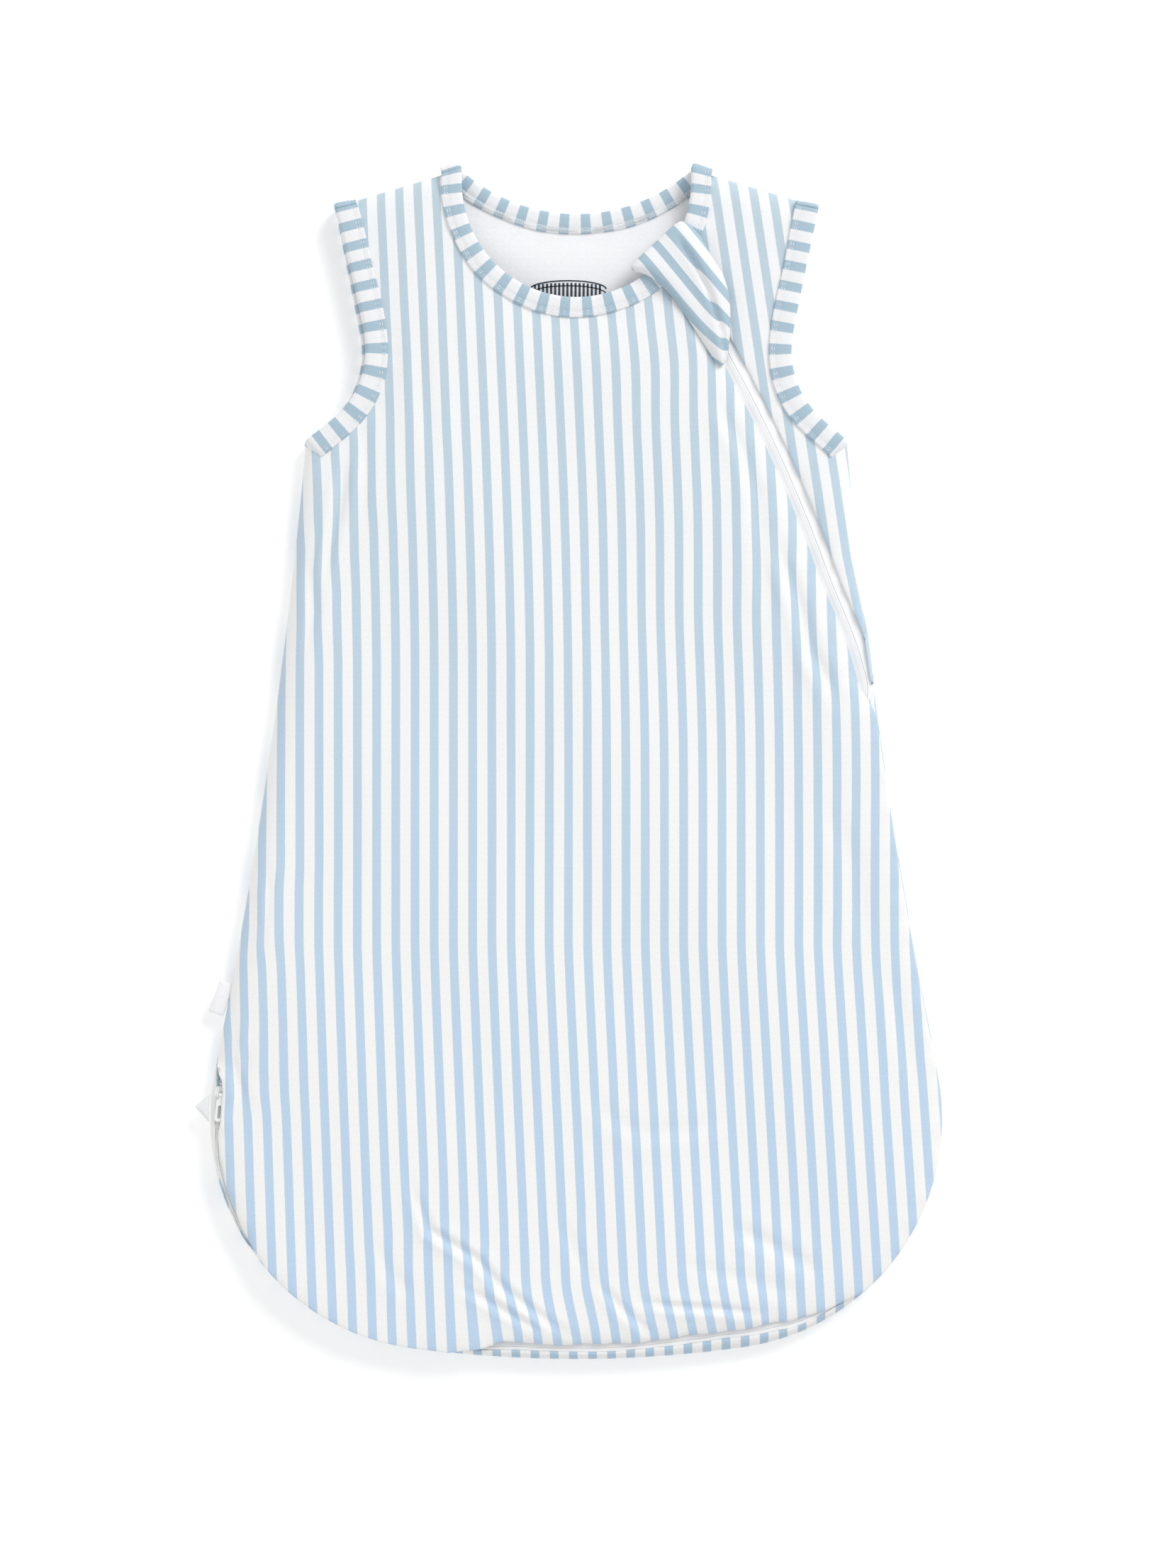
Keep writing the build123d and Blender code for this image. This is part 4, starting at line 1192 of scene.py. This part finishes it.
side_edge = evened(outlines("side_wadding")[0], 1.5)
corners = corners_in(outlines("side_wadding")[0], np.array((20.0, 280.0)), np.array((75.0, 365.0)))
low_corner = corners[np.hypot(*(corners - zip_corner).T).argmin()]
right_line = outside(between(side_edge, low_corner, point_right), -1)
back_line = outside(between(true_edge, point_right, point_left), 1)
parts = [
    eased_to(flat_run(right_line, -1, FRONT_BAND_Z, 1), shoulder * (-1, 1), True),
    turn_over(right_line[-1], back_line[0], shoulder * (-1, 1), (0.75, -0.66), (0.286, 0.958), 2.5, False),
    flat_run(back_line, 1, BACK_BAND_Z, -1),
    turn_over(back_line[-1], front_line[0], (-0.75, -0.66), shoulder, (-0.286, 0.958), 2.5, True),
]
neck_path = [np.array(sum((list(part[k]) for part in parts), [])
                      + [(front_line[0][0], front_line[0][1], FRONT_BAND_Z),
             front_neck_path[1][0], (0, 0, 1)][k : k + 1], float) for k in range(3)]
neck_band, _ = band("neck_back_band", *neck_path, NECK_BAND, BAND_THICK)
thread_runs.append(("neck_back_band_stitches", neck_path, NECK_BAND, BAND_THICK, "bag"))
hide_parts("neck_binding")
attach(neck_band, "bag")


def stitches(name, path, width, thick):
    """Twin-needle stitching: two rows of short threads sunk in the binding near its inner edge."""
    points, inward, up = path
    at = np.concatenate([[0], np.cumsum(np.linalg.norm(np.diff(points, axis=0), axis=1))])
    verts, faces = [], []
    for row in (width - 3.5, width - 2.0):
        s = 1.0
        while s < at[-1] - 2.5:
            ring = []
            for step_, radius in ((0.0, 0.10), (0.5, 0.22), (1.6, 0.22), (2.1, 0.10)):
                here = [np.interp(s + step_, at, points[:, k]) for k in range(3)]
                n = np.array([np.interp(s + step_, at, inward[:, k]) for k in range(3)])
                u = np.array([np.interp(s + step_, at, up[:, k]) for k in range(3)])
                lift = thick * (0.42 if 0.2 < step_ < 2.0 else 0.38)
                centre = np.array(here) + n * row + u * lift
                ring.append([centre + n * radius * cos(q) + u * radius
                             * sin(q) for q in (0, pi / 2, pi, 3 * pi / 2)])
            base = len(verts)
            for r in ring:
                verts.extend(r)
            for i in range(3):
                for k in range(4):
                    faces.append((base + i * 4 + k, base + i * 4 + (k + 1) % 4,
                                  base + (i + 1) * 4 + (k + 1) % 4, base + (i + 1) * 4 + k))
            faces.append((base + 3, base + 2, base + 1, base))
            faces.append((base + 12, base + 13, base + 14, base + 15))
            s += 3.1
    return mesh_piece(name, verts, faces, thread)


def zigzag(name, line, n_low, n_high, z):
    """The looper threads of a coverstitch: two thin zigzags crossing along a binding's inner edge."""
    t = directions(line)
    into = np.column_stack([-t[:, 1], t[:, 0]])
    at = np.concatenate([[0], np.cumsum(np.hypot(*np.diff(line, axis=0).T))])
    verts, faces = [], []
    for start in (0, 1):
        knots = []
        for i, s_ in enumerate(np.arange(1.0, at[-1] - 1.0, 0.95)):
            n = (n_low, n_high)[(i + start) % 2]
            knots.append([np.interp(s_, at, line[:, k] + into[:, k] * n) for k in (0, 1)])
        for a, b in zip(knots, knots[1:]):
            a, b = np.array(a), np.array(b)
            side = np.array([-(b - a)[1], (b - a)[0]]) / np.hypot(*(b - a)) * 0.17
            base = len(verts)
            for p in (a, b):
                verts.extend([(*(p - side), z), (*p, z + 0.2), (*(p + side), z)])
            faces += [(base, base + 3, base + 4, base + 1), (base + 1, base + 4, base + 5, base + 2),
                      (base, base + 2, base + 5, base + 3), (base, base + 1, base + 2),
                      (base + 3, base + 5, base + 4)]
    return mesh_piece(name, verts, faces, looper_thread)


loopers = zigzag("neck_back_band_loopers", back_line, NECK_BAND - 3.8, NECK_BAND - 0.6,
                 BACK_BAND_Z + 0.45 * BAND_THICK)
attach(loopers, "bag")
for name, path, width, thick, body in thread_runs:
    piece = stitches(name, path, width, thick)
    if body == "bag":
        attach(piece, "bag")
    else:
        over_fold(piece)

# --- zip covers and label ------------------------------------------------------------------------
# The upper cover is a puffy folded leaf, sewn down at its hinge and reaching a little past it into the
# neck. Its shape is drawn from its hinge's left end: along the hinge, then down the leaf.
cover_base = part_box("upper_zip_cover")[0][2] / MM + 0.1
hinge = np.array(joint("upper_cover_lift")["pos_m"][:2]) / MM
hinge_way = -np.array(joint("upper_cover_lift")["axis"][:2])
leaf_way = np.array([hinge_way[1], -hinge_way[0]])
hinge_length = 37.5
hinge_left = hinge - hinge_way * hinge_length
LEAF = ((1, -8.5), (12.5, -7.8), (24, -6.4), (36, -5), (42, -3.6), (44, 3), (42.5, 12), (38, 24), (34, 37),
        (27, 48), (18.5, 56),
        (8.5, 64), (0, 70), (-6.5, 73), (-9.5, 71.5), (-8.5, 66), (-4, 51), (0.5, 36), (4.2, 20), (5, 9),
        (3.2, 0), (0, -5.5))
LEAF_FOLD = ((34, -4), (28, 18), (21.5, 34), (16, 44), (8.5, 57), (0, 67))


def on_bag(points):
    points = np.asarray(points, float)
    return hinge_left + points[:, :1] * hinge_way + points[:, 1:] * leaf_way


leaf = evened(on_bag(LEAF), 1.6, 60)
for _ in range(2):
    leaf = (np.roll(leaf, 1, 0) + 2 * leaf + np.roll(leaf, -1, 0)) / 4
if area_of(leaf) < 0:
    leaf = leaf[::-1]
points, faces = filled(leaf, 1.9, (0.4, 1.1, 2.2))
d = nearest(points, leaf)[0]
place = points - hinge_left
u, v = place @ hinge_way, place @ leaf_way
fold_line = stepped(on_bag(LEAF_FOLD), 2.0)
_, fp, fn, fa = nearest(points, fold_line, closed=False)
side = ((points - fp) * fn).sum(1)
puff = 1.3 + 4.6 * quarter(d / 9) - 1.3 * ramp(side, 0, 9) * ramp(v, 0, 30)
puff = puff - 2.3 * np.exp(-((side / 1.5) ** 2)) * ramp(fa, 2, 16)
puff = puff + 0.9 * np.exp(-(((side + 4.5) / 3.5) ** 2)) * ramp(fa, 5, 25)
puff = puff + 0.5 * np.sin(u / 4.4 + v / 26) * np.exp(-np.maximum(v, 0) / 40)
puff = np.maximum(puff * ramp(d, -3.5, 2.2), 0.6 + 0.2 * quarter(d / 2))
top = cover_base + 0.5 + puff
low = cover_base + 0.5 * (1 - quarter(d / 3))
verts = [(*p, z) for p, z in zip(points, top)]
low_of, extra = {}, []
for i in range(len(points)):
    if d[i] < 0.02:
        low_of[i] = i
    else:
        low_of[i] = len(points) + len(extra)
        extra.append((*points[i], low[i]))
shift = 1.6 * np.tanh(side / 2.0) * np.exp(-np.abs(side) / 9) - 0.0022 * (v - 20) ** 2 * ramp(v, 20, 80)
stripe_u = (points - hinge_left) @ np.array([cos(radians(40)), sin(radians(40))])
uv = np.column_stack([(stripe_u + shift + 2.5) * BAND_REPEAT / STRIPE_REPEAT, v])
order = sorted((b, a) for a, b in low_of.items() if b >= len(points))
uv = np.vstack([uv, uv[[a for _, a in order]]])
zip_cover = mesh_piece("upper_zip_cover_leaf", verts + extra,
                       list(faces) + [tuple(low_of[i] for i in f)[::-1] for f in faces], band_cloth, uv)
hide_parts("upper_zip_cover")
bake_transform(zip_cover)

flap_run = evened(outlines("lower_zip_cover")[0], 1.0)
flap_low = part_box("lower_zip_cover")[0][2] / MM
flap_piece = slab_between("lower_zip_cover_flap", flap_run, 1.6,
                          lambda p, d: flap_low + 0.6 + 0.8 * quarter(d / 2), lambda p,
                          d: flap_low + 0.5 - 0.4 * quarter(d / 2), lining_cloth,
                          (0.4,))
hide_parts("lower_zip_cover")
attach(flap_piece, "lower_cover")

label_run = evened(outlines("side_label")[0], 1.5)
label_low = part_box("side_label")[0][2] / MM
seam_end = label_run[label_run[:, 0].argmax()]
turned = radians(-9)
label_run = (label_run
             - seam_end) @ np.array([[cos(turned), sin(turned)],
                                     [-sin(turned), cos(turned)]]) + seam_end + (1.5, 0)
label_piece = slab_between("side_label_ribbon", label_run, 2.0,
                           lambda p, d: label_low + 0.5 + 0.35 * quarter(d / 1.2) + 0.3 * np.sin(p[:, 1] / 6),
                           lambda p, d: label_low + 0.1 + 0.0 * d + 0.3 * np.sin(p[:, 1] / 6), ribbon_cloth,
                           (0.4,))
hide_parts("side_label")
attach(label_piece, "bag")

# --- carried-over CAD parts ----------------------------------------------------------------------
for node in ("upper_slider", "lower_slider", "upper_pull", "lower_pull"):
    mesh = frame["nodes"][node].data
    mesh.materials.clear()
    mesh.materials.append(enamel)
for node in ("front_top_stop", "back_top_stop", "bottom_stop"):
    mesh = frame["nodes"][node].data
    mesh.materials.clear()
    mesh.materials.append(nylon)

# --- printed motif: a hatched dome, low on the back lining ---------------------------------------
verts, faces = [], []


def bar(ax, ay, bx, by, wide, z=4.35):
    way_ = np.array([bx - ax, by - ay], float)
    way_ /= np.hypot(*way_)
    n = np.array([-way_[1], way_[0]]) * wide / 2
    base = len(verts)
    for px, py in ((ax, ay), (bx, by)):
        for s in (-1, 1):
            for h in (0.0, 0.12):
                verts.append((px + s * n[0], py + s * n[1], z + h))
    for quad in ((0, 2, 3, 1), (4, 5, 7, 6), (0, 1, 5, 4), (2, 6, 7, 3), (1, 3, 7, 5), (0, 4, 6, 2)):
        faces.append(tuple(base + q for q in quad))


ink_z = 7.35
for i in range(17):
    gx = -25 + i * 2.45
    bar(gx, 276 + 1.5 * (i % 3), gx, 287.5 + 3.2 * float(np.sqrt(max(0.05, 1 - ((gx + 5) / 24) ** 2))), 1.25,
        ink_z)
for i in range(14):
    a0, a1 = pi * i / 14, pi * (i + 1) / 14
    bar(-5 + 23 * cos(a0), 287 + 5 * sin(a0), -5 + 23 * cos(a1), 287 + 5 * sin(a1), 0.8, ink_z)
    bar(-5 + 23 * cos(a0), 284 + 5 * sin(a0), -5 + 23 * cos(a1), 284 + 5 * sin(a1), 0.6, ink_z)
motif = mesh_piece("lining_motif", verts, faces, ink)
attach(motif, "bag")

# --- bodies, and the flat sizes of the sheets ----------------------------------------------------
for piece in (front_cloth, front_pad, front_lining, front_tape, front_coil, neck_front_band):
    over_fold(piece)
for piece in (side_cloth, side_pad, side_lining, back_cloth, back_pad, back_lining, back_tape, back_coil):
    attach(piece, "bag")


def declare_sheet(cut):
    """The flat size of a sheet of cloth of this cut: the least oblong that the cut comes out of, or for
    a narrow bent cut its length and mean width. It is worked out and not kept."""
    oblongs = []
    for a in np.radians(np.arange(0, 90, 3)):
        turned = cut @ np.array([[cos(a), -sin(a)], [sin(a), cos(a)]])
        oblongs.append(np.ptp(turned, axis=0) * MM)
    wide, long_ = sorted(min(oblongs, key=np.prod))
    area = abs(area_of(cut)) * MM * MM
    if area < NARROW_CUT * wide * long_:
        wide, area = area / long_, None


declare_sheet(front_run)
declare_sheet(side_run)
declare_sheet(back_run)
declare_sheet(front_run)
declare_sheet(side_lining_cut)
declare_sheet(back_run)
declare_sheet(leaf)
declare_sheet(flap_run)

# --- light, floor and camera ---------------------------------------------------------------------
scene = bpy.context.scene
bpy.ops.mesh.primitive_plane_add(size=30.0, location=(0, 0, -0.0004))
floor = bpy.context.object
floor.name = "floor"
paper, nodes, principled, links = material("white_backdrop_glowing", Roughness=0.9)
principled.inputs["Base Color"].default_value = lin("#FDFDFD")
# The floor glows faintly as well: painted light that lifts the bag's shadows on it.
principled.inputs["Emission Color"].default_value = (1, 1, 1, 1)
principled.inputs["Emission Strength"].default_value = 0.16
floor.data.materials.append(paper)

world = bpy.data.worlds.new("studio")
world.use_nodes = True
world.node_tree.nodes["Background"].inputs[0].default_value = (1, 1, 1, 1)
world.node_tree.nodes["Background"].inputs[1].default_value = 0.67
scene.world = world


def lamp(name, place, aim, size, power):
    light = bpy.data.lights.new(name, "AREA")
    light.shape = "SQUARE"
    light.size = size
    light.energy = power
    made = bpy.data.objects.new(name, light)
    made.location = place
    made.rotation_euler = (Vector(aim) - Vector(place)).to_track_quat("-Z", "Y").to_euler()
    scene.collection.objects.link(made)


lamp("key", (2.0, 2.5, 2.4), (0, 0, 0), 1.8, 84)
lamp("fill", (-2.4, -1.6, 2.6), (0, 0, 0), 2.4, 20)

camera = bpy.data.cameras.new("camera")
camera.lens = 85
camera.sensor_width = 36
eye = bpy.data.objects.new("camera", camera)
eye.location = (0.0070, -0.0119, 0.018 + 0.9423 * 85 / 36)
scene.collection.objects.link(eye)
scene.camera = eye
scene.view_settings.view_transform = "Standard"
